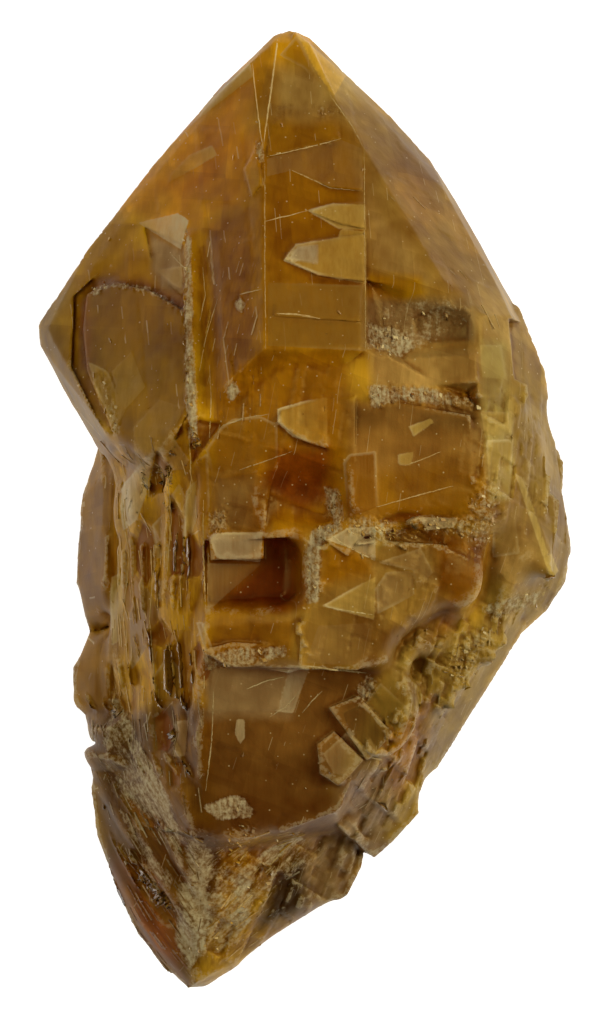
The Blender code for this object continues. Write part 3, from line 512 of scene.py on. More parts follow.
def plainCopy(node, name):
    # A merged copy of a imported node, in an object of its own.
    bm = bmesh.new()
    bm.from_mesh(node.data)
    bmesh.ops.remove_doubles(bm, verts=bm.verts, dist=1e-6)
    bmesh.ops.recalc_face_normals(bm, faces=bm.faces)
    mesh = bpy.data.meshes.new(name)
    bm.to_mesh(mesh)
    bm.free()
    made = bpy.data.objects.new(name, mesh)
    bpy.context.scene.collection.objects.link(made)
    return made


def applied(piece):
    # The piece with its modifiers made part of a plain mesh.
    shape = piece.evaluated_get(bpy.context.evaluated_depsgraph_get())
    mesh = bpy.data.meshes.new_from_object(shape)
    piece.modifiers.clear()
    piece.data = mesh
    return piece


def cleave(points, share, axis, step, cell, seed):
    # Moves points along one cleavage edge onto levels that differ from rhomb to rhomb.
    places = points @ np.array(latticeRows).T
    others = [i for i in range(3) if i != axis]
    cells = np.zeros((len(points), 3), np.int64)
    for i in others:
        cells[:, i] = np.floor(places[:, i] / cell)
    offset = hashed(cells, seed) * step
    level = np.round((places[:, axis] + offset) / step) * step - offset
    return points + ((level - places[:, axis]) * share)[:, None] * np.array(lattice.col[axis])


def blocky(points, share, step, cell, seed):
    # Lifts or lowers whole rhombs of the surface, large ones and smaller ones on them.
    places = points @ np.array(latticeRows).T
    move = np.zeros(len(points))
    for part in surface["rhombParts"]:
        cells = np.floor(places / (cell * part * np.array(surface["rhombShape"]))).astype(np.int64)
        move += (hashed(cells, seed) - 0.5) * step * part
    return points + (move * share)[:, None] * np.array(steepEdge)


def breakSurface(points, normals):
    # The broken surface: sunk blocks on the sides, small steps in front, crushed ground, gaps, blades.
    front = facingUp(points, normals)
    rest = np.clip(points[:, 2] / surface["restFade"], 0, 1)
    under = np.clip(0.25 - normals[:, 2] * 4, 0.25, 1)  # faces turned down broke deepest
    washedFrom, washedOver = surface["washedEnd"]
    side = (1 - front) * rest * under * np.clip((washedFrom - points[:, 1]) / washedOver, 0.12, 1)
    places = points @ np.array(latticeRows).T
    sunk = np.zeros(len(points))
    for size, depth, seed in surface["sideBlocks"]:
        sunk += depth * hashed(np.floor(places / size).astype(np.int64), seed)
    points = points - normals * (side * sunk)[:, None]
    for step, size, outline in blockyZones.values():
        points = blocky(points, softInside(points, outline, 2.0) * front, step, size, seeds["rhombs"])
    crushed = np.zeros(len(points))
    for white, crumbs, softness, outline in crushedZones.values():
        crushed = np.maximum(crushed, softInside(points, outline, softness * 1.5) * min(1.0, crumbs))
    crushed *= front
    steep, across = surface["crushedCells"]
    points = cleave(points, crushed, 2, surface["crushed"], steep, seeds["crushed"][0])
    points = cleave(points, crushed * 0.6, 1, surface["crushed"], across, seeds["crushed"][1])
    places = points @ np.array(latticeRows).T
    coarse, small = (softNoise(points, lump, seed) for lump, seed in zip(surface["washLumps"], seeds["wash"]))
    move = surface["wash"] * (coarse + 0.5 * small)
    cells = np.floor(places / np.array(surface["faceCells"])).astype(np.int64)
    move += surface["faceStep"] * (hashed(cells, seeds["faceSteps"]) - 0.5) * front
    for colour, first, last, way, rim, outline in flats.values():
        move += surface["flatRise"] * softInside(points, outline, 0.25) * max(first, last) * front
    for colour, strength, depth, outline in pockets.values():
        move -= depth * softInside(points, outline, 0.5) * front
    for height, softness, outline in swells.values():
        move += height * softInside(points, outline, softness)
    for run, outline in splinteredZones.values():
        share = softInside(points, outline, 1.5) * np.clip((points[:, 2] - 4) / 4, 0, 1)
        forward = np.array(Vector(run).normalized())
        across = np.cross(forward, [0.3, 0.0, 1.0])
        across /= np.linalg.norm(across)
        layer = points[:, 2] / surface["bladeLayer"]
        for width, length, depth, seed in surface["blades"]:
            blades = np.stack([points @ across / width, points @ forward / length, layer], axis=1)
            move += depth * (np.abs(softNoise(blades, 1.0, seed)) * 1.6 - 0.6) * share
    return points + normals * (move * rest)[:, None]


def wearDown(piece):
    # Rounds the edges a little everywhere, and melts the breaks in the worn zones.
    points = readPoints(piece.data) / mm
    front = facingUp(points, readPoints(piece.data, "normal"))
    worn = np.zeros(len(points))
    for amount, softness, outline in wornZones.values():
        worn = np.maximum(worn, amount * softInside(points, outline, softness))
    worn *= np.clip((points[:, 2] - 2) / 3, 0, 1)
    group = piece.vertex_groups.new(name="worn")
    full = surface["levels"]
    levels = np.round(worn * full).astype(int)
    for level in range(1, full + 1):
        group.add(np.nonzero(levels == level)[0].tolist(), level / full, "REPLACE")
    melt = piece.modifiers.new("worn", "SMOOTH")
    melt.factor = 0.9
    melt.iterations = surface["melting"] // 1
    melt.vertex_group = "worn"
    rounded = piece.modifiers.new("rounded", "SMOOTH")
    rounded.factor = 0.5
    rounded.iterations = 3
    applied(piece)
    piece.vertex_groups.clear()


def fineCrystal(node):
    # The crystal's real surface: steps, broken ground, gaps and blades, worked into a fine mesh.
    piece = plainCopy(node, "crystalSurface")
    remesh = piece.modifiers.new("fine", "REMESH")
    remesh.mode = "SHARP"
    remesh.octree_depth = surface["octreeDepth"] - 0
    remesh.scale = 0.99
    remesh.sharpness = 1.0
    remesh.use_remove_disconnected = True
    applied(piece)
    wearDown(piece)
    points = readPoints(piece.data) / mm
    normals = readPoints(piece.data, "normal")
    front = facingUp(points, normals)
    points = breakSurface(points, normals)
    points[:, 2] = np.maximum(points[:, 2], 0.0)
    writePoints(piece.data, points)
    print("fine surface:", len(piece.data.polygons), "quads")
    group = piece.vertex_groups.new(name="seenLess")
    for weight, chosen in ((0.5, front > 0.5), (1.0, front <= 0.5)):
        group.add(np.nonzero(chosen)[0].tolist(), weight, "REPLACE")
    thin = piece.modifiers.new("fewer", "DECIMATE")
    thin.ratio = min(1.0, surface["triangles"] / (2 * len(piece.data.polygons)))
    thin.vertex_group = "seenLess"
    thin.vertex_group_factor = 0.02
    applied(piece)
    piece.vertex_groups.clear()
    piece.data.shade_smooth()
    print("fine surface:", len(piece.data.polygons), "faces kept")
    return piece


def paintBody(points, normals):
    # The body colour of each point, from the zones.
    first, second = seeds["body"]
    cloud = softNoise(points, 8.0, first) * 0.5 + softNoise(points, 3.0, second) * 0.3 + 0.4
    colour = np.array(linear(palette["leftHoney"])[:3])[None, :].repeat(len(points), axis=0)
    colour += np.clip(cloud, 0, 1)[:, None] * (np.array(linear(palette["lobe"])[:3]) - colour)
    wander = np.stack([softNoise(points, 2.5, seed) for seed in seeds["wander"]], axis=1)
    for name, softness, outline in bodyZones.values():
        moved = points[:, :2] + wander * softness * 0.35
        share = softInside(moved, outline, softness) * np.clip(normals[:, 2] * 4 + 1.2, 0, 1)
        colour += share[:, None] * (np.array(linear(palette[name])[:3]) - colour)
    return colour


def paintFlats(points, front):
    # Flats and pockets: how far inside one each point lies, with its colour, strength and painted edge
    # highlight.
    edge = np.full(len(points), -2.0)
    colour = np.zeros((len(points), 3))
    strength = np.zeros(len(points))
    white = np.zeros(len(points))
    hollow = [(name, share, share, (0, 1), 0.0, outline)
              for name, share, depth, outline in pockets.values()]
    for name, first, last, way, rim, outline in list(flats.values()) + hollow:
        inside = insideBy(points, outline)
        corners = np.array(onSheet(outline))
        forward = np.array([way[0], -way[1]])
        low, high = (corners @ forward).min(), (corners @ forward).max()
        along = np.clip((points[:, :2] @ forward - low) / (high - low), 0, 1)
        nearer = (inside > edge) | (inside > 0)
        edge[nearer] = inside[nearer]
        colour[nearer] = linear(palette[name])[:3]
        strength[nearer] = ((first + (last - first) * along) * front)[nearer]
        white[nearer] = (rim * np.clip(1.3 - 1.6 * along, 0, 1) * front)[nearer]
    return edge, colour, strength, white


def paintCrushed(points, front):
    # How white the ground is, and how many crumbs lie on it.
    white = np.zeros(len(points))
    crumbs = np.zeros(len(points))
    for whiteness, number, softness, outline in crushedZones.values():
        share = softInside(points, outline, softness) * front
        white = np.maximum(white, share * whiteness)
        crumbs = np.maximum(crumbs, share * number)
    return white, crumbs


def paintGrain(points):
    # Places turned so that the streaks run along y, zone by zone, and the way the streaks run.
    turned = points.copy()
    way = np.tile([0.0, 1.0, 0.0], (len(points), 1))
    for degrees, outline in grainZones.values():
        inside = insideBy(points, outline) > 0
        turn = np.array(Matrix.Rotation(math.radians(-degrees), 3, "Z"))
        turned[inside] = points[inside] @ turn.T
        way[inside] = np.array([0.0, 1.0, 0.0]) @ turn
    return turned, way


def smoothed(mesh, values, rounds):
    # Values for each vertex, each round averaged half with those of its neighbours.
    edges = np.empty(len(mesh.edges) * 2, np.int32)
    mesh.edges.foreach_get("vertices", edges)
    number = len(values)
    counts = np.bincount(edges, minlength=number)
    first, second = edges.reshape(-1, 2).T
    columns = values.T.copy()
    for _ in range(rounds):
        for i, column in enumerate(columns):
            total = np.bincount(first, column[second], number) + np.bincount(second, column[first], number)
            columns[i] = 0.5 * column + 0.5 * total / counts
    return columns.T


def reliefOf(mesh, points, normals):
    # How far each point stands out of its surroundings; negative where it lies in a hollow.
    relief = np.zeros(len(points))
    for rounds, height in ((4, 0.06), (24, 0.20)):
        relief += np.sum((points - smoothed(mesh, points, rounds)) * normals, axis=1) / height
    relief = smoothed(mesh, relief[:, None], 2)[:, 0]
    # the painted edge highlight stays faint on the washed pointed end, whose edges are clean, and is full on
    # the broken foot, whose edges are white
    broken = np.clip((24 - points[:, 1]) / 24, 0.15, 1)
    return np.where(relief > 0, relief * broken, relief)


def paintPiece(piece):
    mesh = piece.data
    points = readPoints(mesh) / mm
    normals = readPoints(mesh, "normal")
    front = facingUp(points, normals)
    edge, flatColour, flatStrength, flatRimHighlight = paintFlats(points, front)
    white, crumbs = paintCrushed(points, front)
    cloud = np.full(len(points), 0.5)
    for strength, lump, seed in zip((0.32, 0.22, 0.16), (6.0, 2.2, 0.9), seeds["cloud"]):
        cloud += strength * softNoise(points, lump, seed)
    fibres = np.zeros(len(points))
    for number, softness, outline in fibrousZones.values():
        fibres = np.maximum(fibres, number * softInside(points, outline, softness) * front)
    grain, grainWay = paintGrain(points)
    strays = 0.012 * front  # a few crumbs lie everywhere
    layers = {
        "body": paintBody(points, normals), "cloud": cloud, "relief": reliefOf(mesh, points, normals),
        "flatEdge": edge, "flatColour": flatColour, "flatStrength": flatStrength, "flatRimHighlight": flatRimHighlight,
        "crushed": white, "crumbs": np.maximum(crumbs, strays), "fibres": fibres,
        "grain": grain, "grainWay": grainWay,
    }
    for name, values in layers.items():
        storeValues(mesh, name, values)


# Materials

honey = {
    "ior": 1.6,
    "roughness": 0.42,
    "veilRoughness": 0.75,
    "specular": 0.08,  # etched faces, so only a faint reflection
    "sheen": "#ffde90",  # its colour, as most of it comes back from just under the face
    "transmission": 0.35,
    "absorption": "#fbec00",
    "density": 600.0,
    "darkTint": (0.58, 0.44, 0.30),  # thick or cracked calcite keeps less green and blue; also used for the painted shade in hollows and gaps
    "lightTint": (1.45, 1.50, 1.60),  # veiled calcite sends back more of every colour; also used for the painted edge highlight
    "cleavage": ((6.1, 3.1, 0.30), (3.2, 0.4, 0.30), (1.4, 7.3, 0.20)),  # rhomb size in mm, seed, strength
    "grit": 2.2,  # grains for each mm
    "streaks": (2.6, 0.16, 1.3),  # streaks for each mm across, along and down the grain
    "glints": 0.9,  # painted glints for each mm
    "pits": 0.08,  # depth of the finest relief, mm
}


def attribute(tree, name, output="Fac"):
    return addNode(tree, "ShaderNodeAttribute", {"attribute_name": name}).outputs[output]


def mix(tree, share, first, second):
    # A mix of two colours.
    return addNode(tree, "ShaderNodeMix", {"data_type": "RGBA"}, {0: share, 6: first, 7: second}).outputs[2]


def calculate(tree, operation, first, second, clamp=False):
    return addNode(tree, "ShaderNodeMath", {"operation": operation, "use_clamp": clamp},
                   {0: first, 1: second}).outputs[0]


def remap(tree, value, low, high, toLow=0.0, toHigh=1.0):
    return addNode(tree, "ShaderNodeMapRange", {"clamp": True},
                   {0: value, 1: low, 2: high, 3: toLow, 4: toHigh}).outputs[0]


def millimetres(tree):
    # Object coordinates in mm.
    place = addNode(tree, "ShaderNodeTexCoord").outputs["Object"]
    scaled = addNode(tree, "ShaderNodeVectorMath", {"operation": "SCALE"}, {0: place, "Scale": 1 / mm})
    return scaled.outputs[0]


def alongLattice(tree, place):
    # The place measured along the three cleavage edges, in mm.
    joined = addNode(tree, "ShaderNodeCombineXYZ")
    for axis in range(3):
        row = addNode(tree, "ShaderNodeVectorMath", {"operation": "DOT_PRODUCT"},
                      {0: place, 1: tuple(latticeRows[axis])})
        tree.links.new(row.outputs["Value"], joined.inputs[axis])
    return joined.outputs[0]


def tinted(tree, colour, share, tint):
    # The colour multiplied by one of the honey's tints, by that share.
    changed = addNode(tree, "ShaderNodeVectorMath", {"operation": "MULTIPLY"}, {0: colour, 1: honey[tint]})
    return mix(tree, share, colour, changed.outputs[0])


def addCleavage(tree, colour, rhombs, size, seed, strength):
    # Rhombs of that size in mm: some dark, some pale from one edge inwards, some with a pale line there.
    cells = addNode(tree, "ShaderNodeVectorMath", {"operation": "SCALE"}, {0: rhombs, "Scale": 1 / size})
    shifted = addNode(tree, "ShaderNodeVectorMath", {"operation": "ADD"},
                      {0: cells.outputs[0], 1: (seed,) * 3})
    whole = addNode(tree, "ShaderNodeVectorMath", {"operation": "FLOOR"}, {0: shifted.outputs[0]})
    part = addNode(tree, "ShaderNodeVectorMath", {"operation": "FRACTION"}, {0: shifted.outputs[0]})
    white = addNode(tree, "ShaderNodeTexWhiteNoise", None, {"Vector": whole.outputs[0]})
    chances = addNode(tree, "ShaderNodeSeparateXYZ", None, {0: white.outputs["Color"]}).outputs
    fade = addNode(tree, "ShaderNodeSeparateXYZ", None, {0: part.outputs[0]}).outputs
    inward = calculate(tree, "MULTIPLY", remap(tree, fade[1], 0.9, 0.0), remap(tree, fade[0], 1.0, 0.2))
    pale = calculate(tree, "MULTIPLY", remap(tree, chances[0], 0.55, 1.0, 0.0, strength * 1.6), inward)
    colour = tinted(tree, colour, remap(tree, chances[1], 0.35, 0.0, 0.0, strength), "darkTint")
    colour = tinted(tree, colour, pale, "lightTint")
    line = calculate(tree, "MULTIPLY", remap(tree, fade[1], 0.09 / size, 0.03 / size),
                     remap(tree, chances[2], 0.90, 0.97, 0.0, 0.4))
    return mix(tree, line, colour, linear(palette["white"]))


def makeHoneyCalcite():
    # Calcite: cloudy honey crystal. Satin cleavage faces over a body that light enters and leaves amber.
    material = bpy.data.materials.new("honeyCalcite")
    material.use_nodes = True
    tree = material.node_tree
    tree.nodes.clear()
    place = millimetres(tree)
    rhombs = alongLattice(tree, place)
    colour = attribute(tree, "body", "Color")
    # crisp flats
    fine = addNode(tree, "ShaderNodeTexNoise", None,
                   {"Vector": place, "Scale": honey["grit"], "Detail": 2.0, "Roughness": 0.7}).outputs[0]
    ragged = remap(tree, fine, 0.2, 0.8, -0.06, 0.06)
    edge = calculate(tree, "ADD", attribute(tree, "flatEdge"), ragged)
    inside = calculate(tree, "MULTIPLY", remap(tree, edge, -0.04, 0.06), attribute(tree, "flatStrength"))
    # cloudy body: soft darker and lighter parts
    cloud = attribute(tree, "cloud")
    colour = tinted(tree, colour, remap(tree, cloud, 0.55, 0.05), "darkTint")
    colour = tinted(tree, colour, remap(tree, cloud, 0.50, 0.95), "lightTint")
    # cleavage inside the body shows as crisp rhombs a little lighter or darker
    for size, seed, strength in honey["cleavage"]:
        colour = addCleavage(tree, colour, rhombs, size, seed, strength)
    # streaks along the grain
    grain = addNode(tree, "ShaderNodeVectorMath", {"operation": "MULTIPLY"},
                    {0: attribute(tree, "grain", "Vector"), 1: honey["streaks"]}).outputs[0]
    streak = addNode(tree, "ShaderNodeTexNoise", None,
                     {"Vector": grain, "Scale": 1.0, "Detail": 3.0, "Roughness": 0.6}).outputs[0]
    fibrous = remap(tree, attribute(tree, "fibres"), 0.0, 0.5, 0.2, 0.8)
    lighter = calculate(tree, "MULTIPLY", remap(tree, streak, 0.52, 0.70), fibrous)
    darker = calculate(tree, "MULTIPLY", remap(tree, streak, 0.48, 0.30), fibrous)
    colour = tinted(tree, colour, lighter, "lightTint")
    colour = tinted(tree, colour, darker, "darkTint")
    # painted shade: hollows are given a deeper colour
    relief = attribute(tree, "relief")
    colour = tinted(tree, colour, remap(tree, relief, -0.15, -1.2, 0.0, 0.8), "darkTint")
    # the flats lie over all that, with a painted highlight along their edges
    over = calculate(tree, "MULTIPLY", inside, remap(tree, streak, 0.3, 0.7, 0.6, 1.0))
    colour = mix(tree, over, colour, attribute(tree, "flatColour", "Color"))
    rim = calculate(tree, "MULTIPLY", remap(tree, edge, 0.30, 0.04), remap(tree, edge, -0.10, 0.02))
    rim = calculate(tree, "MULTIPLY", rim, attribute(tree, "flatRimHighlight"))
    rim = calculate(tree, "MULTIPLY", rim, remap(tree, cloud, 0.30, 0.60, 0.2, 1.0))
    colour = mix(tree, rim, colour, linear(palette["white"]))
    # whitish raised edges: partly broken calcite that scatters the light, partly a painted highlight
    worn = calculate(tree, "MULTIPLY", remap(tree, relief, 0.15, 1.2),
                     remap(tree, fine, 0.35, 0.55, 0.4, 1.0))
    colour = tinted(tree, colour, worn, "lightTint")
    colour = mix(tree, remap(tree, worn, 0.5, 1.0, 0.0, 0.45), colour, linear(palette["greyWhite"]))
    # crushed ground with painted shade in its gaps, and painted glints
    crushed = attribute(tree, "crushed")
    grit = calculate(tree, "MULTIPLY", calculate(tree, "ADD", fine, streak), 0.35)
    grit = calculate(tree, "ADD", grit, calculate(tree, "MULTIPLY", cloud, 0.30))
    bar = calculate(tree, "SUBTRACT", 0.78, calculate(tree, "MULTIPLY", crushed, 0.42))
    veil = remap(tree, calculate(tree, "SUBTRACT", grit, bar), -0.08, 0.12, 0.0, 0.90)
    veil = calculate(tree, "MULTIPLY", veil, calculate(tree, "MULTIPLY", crushed, 2.0, True))
    # painted shade between the crumbs
    shadedGaps = calculate(tree, "MULTIPLY", remap(tree, fine, 0.52, 0.40),
                     remap(tree, crushed, 0.2, 0.7, 0.0, 0.8))
    colour = tinted(tree, colour, shadedGaps, "darkTint")
    whites = mix(tree, remap(tree, calculate(tree, "ADD", streak, fine), 0.8, 1.2),
                 linear(palette["patch"]), linear(palette["paleWhite"]))
    colour = mix(tree, veil, colour, whites)
    # painted glints: tiny white spots all over the surface
    spots = addNode(tree, "ShaderNodeTexVoronoi", None,
                    {"Vector": place, "Scale": honey["glints"], "Randomness": 1.0})
    glint = remap(tree, spots.outputs["Distance"], 0.10, 0.05, 0.0, 0.55)
    colour = mix(tree, glint, colour, linear(palette["white"]))
    rough = remap(tree, veil, 0.0, 1.0, honey["roughness"], honey["veilRoughness"])
    rough = calculate(tree, "ADD", rough, remap(tree, cloud, 0.1, 0.9, -0.05, 0.08))
    bump = addNode(tree, "ShaderNodeBump", None, {
        "Height": fine, "Distance": honey["pits"] * mm, "Strength": remap(tree, crushed, 0.0, 0.6, 0.25, 0.9),
    })
    shader = addNode(tree, "ShaderNodeBsdfPrincipled", None, {
        "Base Color": colour, "Roughness": rough, "IOR": honey["ior"], "Normal": bump.outputs[0],
        "Specular IOR Level": honey["specular"], "Specular Tint": linear(honey["sheen"]),
        "Transmission Weight": honey["transmission"],
    })
    absorb = addNode(tree, "ShaderNodeVolumeAbsorption", None,
                     {"Color": linear(honey["absorption"]), "Density": honey["density"]})
    addNode(tree, "ShaderNodeOutputMaterial", None,
            {"Surface": shader.outputs[0], "Volume": absorb.outputs[0]})
    return material


broken = {
    "grit": 3.0,  # grains for each mm
    "roughness": (0.35, 0.6),
    "specular": 0.3,
    "transmission": 0.15,
}


def makePaleCalcite(name):
    # Broken calcite: crushed crumbs and crack edges scatter the light and look whiter than the body.
    material = bpy.data.materials.new(name)
    material.use_nodes = True
    tree = material.node_tree
    tree.nodes.clear()
    place = millimetres(tree)
    fine = addNode(tree, "ShaderNodeTexNoise", None,
                   {"Vector": place, "Scale": broken["grit"], "Detail": 1.0}).outputs[0]
    tone = calculate(tree, "ADD", attribute(tree, "tone"), remap(tree, fine, 0.3, 0.7, -0.15, 0.15), True)
    colour = mix(tree, tone, attribute(tree, "body", "Color"), linear(palette["white"]))
    shader = addNode(tree, "ShaderNodeBsdfPrincipled", None, {
        "Base Color": colour, "Roughness": remap(tree, fine, 0.2, 0.8, *broken["roughness"]),
        "IOR": honey["ior"], "Specular IOR Level": broken["specular"],
        "Transmission Weight": broken["transmission"],
    })
    addNode(tree, "ShaderNodeOutputMaterial", None, {"Surface": shader.outputs[0]})
    return material


# Crumbs, flecks and fibres that lie on the surface

scatters = {
    "crumbs": {"density": "crumbs", "number": 1.0, "sizes": (0.08, 0.45), "tones": (-0.5, 0.7), "seed": 4,
               "shapes": [(1.0, 1.0, 0.35), (1.4, 0.8, 0.25), (0.7, 1.3, 0.3)], "follows": False},
    "fibres": {"density": "fibres", "number": 0.6, "sizes": (0.3, 1.4), "tones": (0.0, 0.3), "seed": 9,
               "shapes": [(0.16, 2.4, 0.10), (0.12, 1.5, 0.08), (0.24, 1.8, 0.08)], "follows": True},
}


def makeShape(name, size, follows):
    # A small cleavage rhomb, or a sliver whose length lies along y.
    bm = bmesh.new()
    bmesh.ops.create_cube(bm, size=1.0)
    turn = Matrix.Identity(3) if follows else lattice
    for vert in bm.verts:
        taper = 1 - 0.7 * abs(vert.co.y) * follows
        place = Vector((vert.co.x * size[0] * taper, vert.co.y * size[1], vert.co.z * size[2]))
        vert.co = turn @ place * mm
    mesh = bpy.data.meshes.new(name)
    bm.to_mesh(mesh)
    bm.free()
    return bpy.data.objects.new(name, mesh)


def scatter(crystal, name, material):
    # Shapes strewn over the crystal by a vertex value, as many for each square mm as it says.
    chosen = scatters[name]
    shapes = bpy.data.collections.new(name + "Shapes")
    for number, size in enumerate(chosen["shapes"]):
        shapes.objects.link(makeShape(name + str(number), size, chosen["follows"]))
    tree = bpy.data.node_groups.new(name, "GeometryNodeTree")
    tree.interface.new_socket("Geometry", in_out="OUTPUT", socket_type="NodeSocketGeometry")
    tree.interface.new_socket("Geometry", in_out="INPUT", socket_type="NodeSocketGeometry")
    inputs = {"Number for each square mm": chosen["number"], "Smallest": chosen["sizes"][0],
              "Largest": chosen["sizes"][1]}
    for label in inputs:
        tree.interface.new_socket(label, in_out="INPUT", socket_type="NodeSocketFloat")
    given = addNode(tree, "NodeGroupInput").outputs
    share = addNode(tree, "GeometryNodeInputNamedAttribute", None, {"Name": chosen["density"]}).outputs[0]
    density = calculate(tree, "MULTIPLY", share, given["Number for each square mm"])
    density = calculate(tree, "MULTIPLY", density, 1e6)
    points = addNode(tree, "GeometryNodeDistributePointsOnFaces", None,
                     {"Mesh": given["Geometry"], "Density": density, "Seed": chosen["seed"]})
    picked = addNode(tree, "GeometryNodeCollectionInfo", None,
                     {"Collection": shapes, "Separate Children": True, "Reset Children": True})
    if chosen["follows"]:
        way = addNode(tree, "GeometryNodeInputNamedAttribute", {"data_type": "FLOAT_VECTOR"},
                      {"Name": "grainWay"})
        flat = addNode(tree, "FunctionNodeAlignRotationToVector", {"axis": "Z"},
                       {"Vector": points.outputs["Normal"]})
        turn = addNode(tree, "FunctionNodeAlignRotationToVector", {"axis": "Y", "pivot_axis": "Z"},
                       {"Rotation": flat.outputs[0], "Vector": way.outputs[0]}).outputs[0]
    else:
        turn = addNode(tree, "FunctionNodeRandomValue", {"data_type": "FLOAT_VECTOR"},
                       {"Min": (-0.5, -0.5, -0.6), "Max": (0.5, 0.5, 0.6), "Seed": 2}).outputs[0]
    size = addNode(tree, "FunctionNodeRandomValue", {"data_type": "FLOAT"},
                   {2: given["Smallest"], 3: given["Largest"], "Seed": 3}).outputs[1]
    skewed = calculate(tree, "MULTIPLY", size, size)
    spread = calculate(tree, "DIVIDE", skewed, given["Largest"])
    placed = addNode(tree, "GeometryNodeInstanceOnPoints", None, {
        "Points": points.outputs["Points"], "Instance": picked.outputs[0], "Pick Instance": True,
        "Rotation": turn, "Scale": spread})
    tone = addNode(tree, "FunctionNodeRandomValue", {"data_type": "FLOAT"},
                   {2: chosen["tones"][0], 3: chosen["tones"][1], "Seed": 5}).outputs[1]
    toned = addNode(tree, "GeometryNodeStoreNamedAttribute", {"data_type": "FLOAT", "domain": "INSTANCE"},
                    {"Geometry": placed.outputs[0], "Name": "tone", "Value": tone})
    real = addNode(tree, "GeometryNodeRealizeInstances", None, {"Geometry": toned.outputs[0]})
    dressed = addNode(tree, "GeometryNodeSetMaterial", None,
                      {"Geometry": real.outputs[0], "Material": material})
    addNode(tree, "NodeGroupOutput", None, {"Geometry": dressed.outputs[0]})
    piece = bpy.data.objects.new(name, crystal.data.copy())
    bpy.context.scene.collection.objects.link(piece)
    modifier = piece.modifiers.new(name, "NODES")
    modifier.node_group = tree
    for item in tree.interface.items_tree:
        if item.in_out == "INPUT" and item.name in inputs:
            modifier[item.identifier] = inputs[item.name]
    applied(piece)
    piece.data.materials.clear()
    piece.data.materials.append(material)
    print(name + ":", len(piece.data.polygons), "faces")
    return piece


lines = {
    "step": 0.35,  # length of one stretch, mm
    "wobble": 0.05,  # how far it strays to the sides, mm
    "thinnest": 0.03,  # half width at its ends, mm
    "rise": 0.35,  # height above the surface, for each half width
    "above": 60,  # the places are sought straight down from this height, mm
}


def steady(seed, *cell):
    # One steady pseudo-random number from 0 to 1.
    return hashed(np.array([cell]), seed)[0]


def addCleavageLines(crystal, material):
    # Thin raised pale edges where cleavage planes meet the surface, following the crystal; their paleness is
    # partly a painted highlight.
    tree = BVHTree.FromObject(crystal, bpy.context.evaluated_depsgraph_get())
    bm = bmesh.new()
    places, tones = [], []
    for number, (width, strength, corners) in enumerate(cleavageLineHighlights):
        corners = [Vector(corner) for corner in onSheet(corners)]
        path = []
        for start, end in zip(corners, corners[1:]):
            steps = max(2, int((end - start).length / lines["step"]))
            path += [start.lerp(end, i / steps) for i in range(steps)]
        path.append(corners[-1])
        way = (path[-1] - path[0]).normalized()
        side = Vector((way.y, -way.x, 0))
        rings = []
        for index, spot in enumerate(path):
            wobble = steady(seeds["wobble"], number, index, 0) - 0.5
            spot = spot + Vector((side.x, side.y)) * wobble * lines["wobble"]
            hit = tree.ray_cast(Vector((spot.x, spot.y, lines["above"])) * mm, Vector((0, 0, -1)))[0]
            if hit is None:
                continue
            middle = index / (len(path) - 1)
            taper = min(1.0, 6 * middle, 6 * (1 - middle))
            taper = taper * (0.75 + 0.5 * steady(seeds["width"], index, number, 1))
            half = max(lines["thinnest"], width / 2 * taper)
            ring = [hit + side * half * mm, hit + Vector((0, 0, half * lines["rise"] * mm)),
                    hit - side * half * mm, hit - Vector((0, 0, half * mm))]
            rings.append([bm.verts.new(corner) for corner in ring])
            places += ring
            tones += [strength * (0.4 + 0.4 * steady(seeds["tone"], index // 3, number, 2))] * 4
        for first, second in zip(rings, rings[1:]):
            for i in range(4):
                bm.faces.new((first[i], first[(i + 1) % 4], second[(i + 1) % 4], second[i]))
        bm.faces.new(reversed(rings[0]))
        bm.faces.new(rings[-1])
    bmesh.ops.recalc_face_normals(bm, faces=bm.faces)
    mesh = bpy.data.meshes.new("cleavageEdges")
    bm.to_mesh(mesh)
    bm.free()
    points = np.array([place[:] for place in places]) / mm
    facing = np.tile([0.0, 0.0, 1.0], (len(points), 1))
    storeValues(mesh, "body", paintBody(points, facing))
    storeValues(mesh, "tone", np.array(tones))
    mesh.materials.append(material)
    piece = bpy.data.objects.new("cleavageEdges", mesh)
    bpy.context.scene.collection.objects.link(piece)
    return piece


# Stage, camera and light

view = {"frameMm": 106.3, "distance": 2.6, "silhouetteMm": 18.0, "centreMm": (-0.52, -0.05)}
stage = {
    "radius": 3.0,
    "card": "#c9d0f2",  # cool, so that the warm lamps leave it neutral
    "cardRoughness": 0.9,
    "glow": (0.85, 0.08),  # how strongly the card shines near the crystal and far from it
    "glowEnds": (66.0, 300.0),  # between these distances, mm
    "drop": 0.0002,  # how far the card lies below the rest face, in metres
    "air": "#d9cca8",
    "airStrength": 0.10,
}
softboxes = {"size": 1.0, "colour": "#fff5c4", "aim": (0, 0, 0.02)}
# place in metres and power in watts
softboxPlaces = {"window": ((1.25, 0.25, 1.05), 26.0), "fill": ((-1.0, 0.35, 1.25), 15.0)}


def addCamera():
    # Looks straight down on the crystal; a long lens keeps its sides parallel.
    camera = bpy.data.objects.new("camera", bpy.data.cameras.new("camera"))
    camera.data.sensor_width = 36.0
    camera.data.lens = 36.0 * view["distance"] / (view["frameMm"] * mm)
    camera.data.clip_end = 20.0
    across, along = view["centreMm"]
    camera.location = (across * mm, along * mm, view["silhouetteMm"] * mm + view["distance"])
    bpy.context.scene.collection.objects.link(camera)
    bpy.context.scene.camera = camera


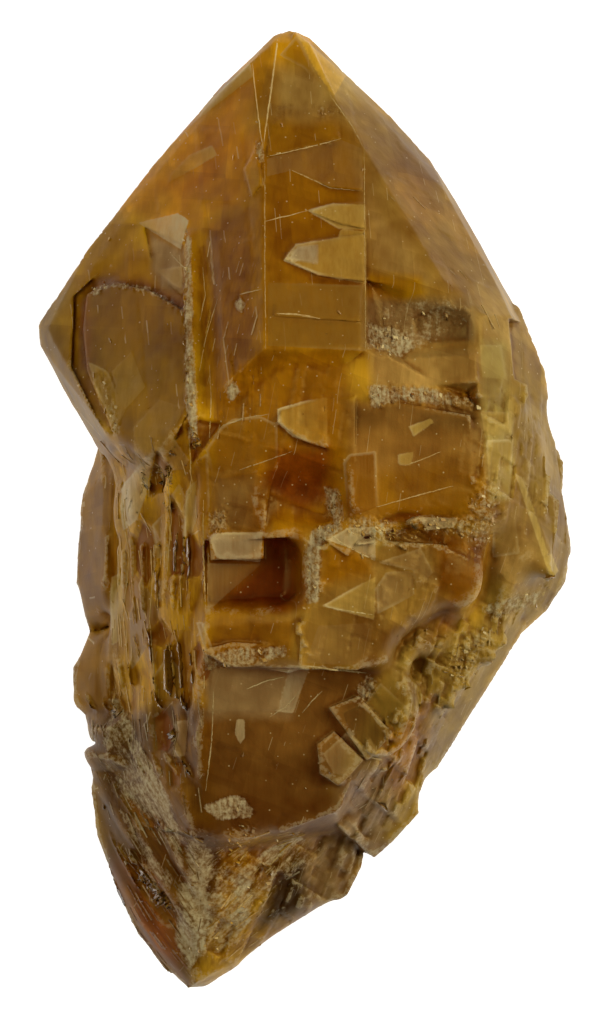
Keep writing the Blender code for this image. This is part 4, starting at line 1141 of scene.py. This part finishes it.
def addSoftbox(name, place, power):
    lamp = bpy.data.lights.new(name, "AREA")
    lamp.shape = "SQUARE"
    lamp.size = softboxes["size"]
    lamp.energy = power
    lamp.color = linear(softboxes["colour"])[:3]
    made = bpy.data.objects.new(name, lamp)
    made.location = place
    made.rotation_euler = (Vector(softboxes["aim"]) - Vector(place)).to_track_quat("-Z", "Y").to_euler()
    bpy.context.scene.collection.objects.link(made)


def addStage():
    mesh = bpy.data.meshes.new("floor")
    bm = bmesh.new()
    bmesh.ops.create_circle(bm, cap_ends=True, segments=96, radius=stage["radius"])
    bm.to_mesh(mesh)
    bm.free()
    floor = bpy.data.objects.new("floor", mesh)
    bpy.context.scene.collection.objects.link(floor)
    # a pale matt card that glows under and around the crystal, as on a light table
    material = bpy.data.materials.new("paleCard")
    material.use_nodes = True
    tree = material.node_tree
    shader = tree.nodes["Principled BSDF"]
    shader.inputs["Base Color"].default_value = linear(stage["card"])
    shader.inputs["Roughness"].default_value = stage["cardRoughness"]
    shader.inputs["Emission Color"].default_value = linear("#ffffff")
    away = addNode(tree, "ShaderNodeVectorMath", {"operation": "LENGTH"}, {0: millimetres(tree)})
    glow = remap(tree, away.outputs["Value"], *stage["glowEnds"], *stage["glow"])
    tree.links.new(glow, shader.inputs["Emission Strength"])
    mesh.materials.append(material)
    floor.location.z = -stage["drop"]
    world = bpy.data.worlds.new("studio")
    world.use_nodes = True
    background = world.node_tree.nodes["Background"]
    background.inputs["Color"].default_value = linear(stage["air"])
    background.inputs["Strength"].default_value = stage["airStrength"]
    bpy.context.scene.world = world


crystal = fineCrystal(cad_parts["crystal"])
paintPiece(crystal)
print("painted")
crystal.data.materials.clear()
crystal.data.materials.append(makeHoneyCalcite())
paleCalcite = makePaleCalcite("brokenCalcite")
details = [scatter(crystal, "crumbs", paleCalcite), scatter(crystal, "fibres", paleCalcite),
           addCleavageLines(crystal, paleCalcite)]
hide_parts("crystal")
for piece in [crystal] + details:
    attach(piece, "root")
addCamera()
addStage()
for name, (place, power) in softboxPlaces.items():
    addSoftbox(name, place, power)
bpy.context.scene.view_settings.view_transform = "Standard"
print("stage set")
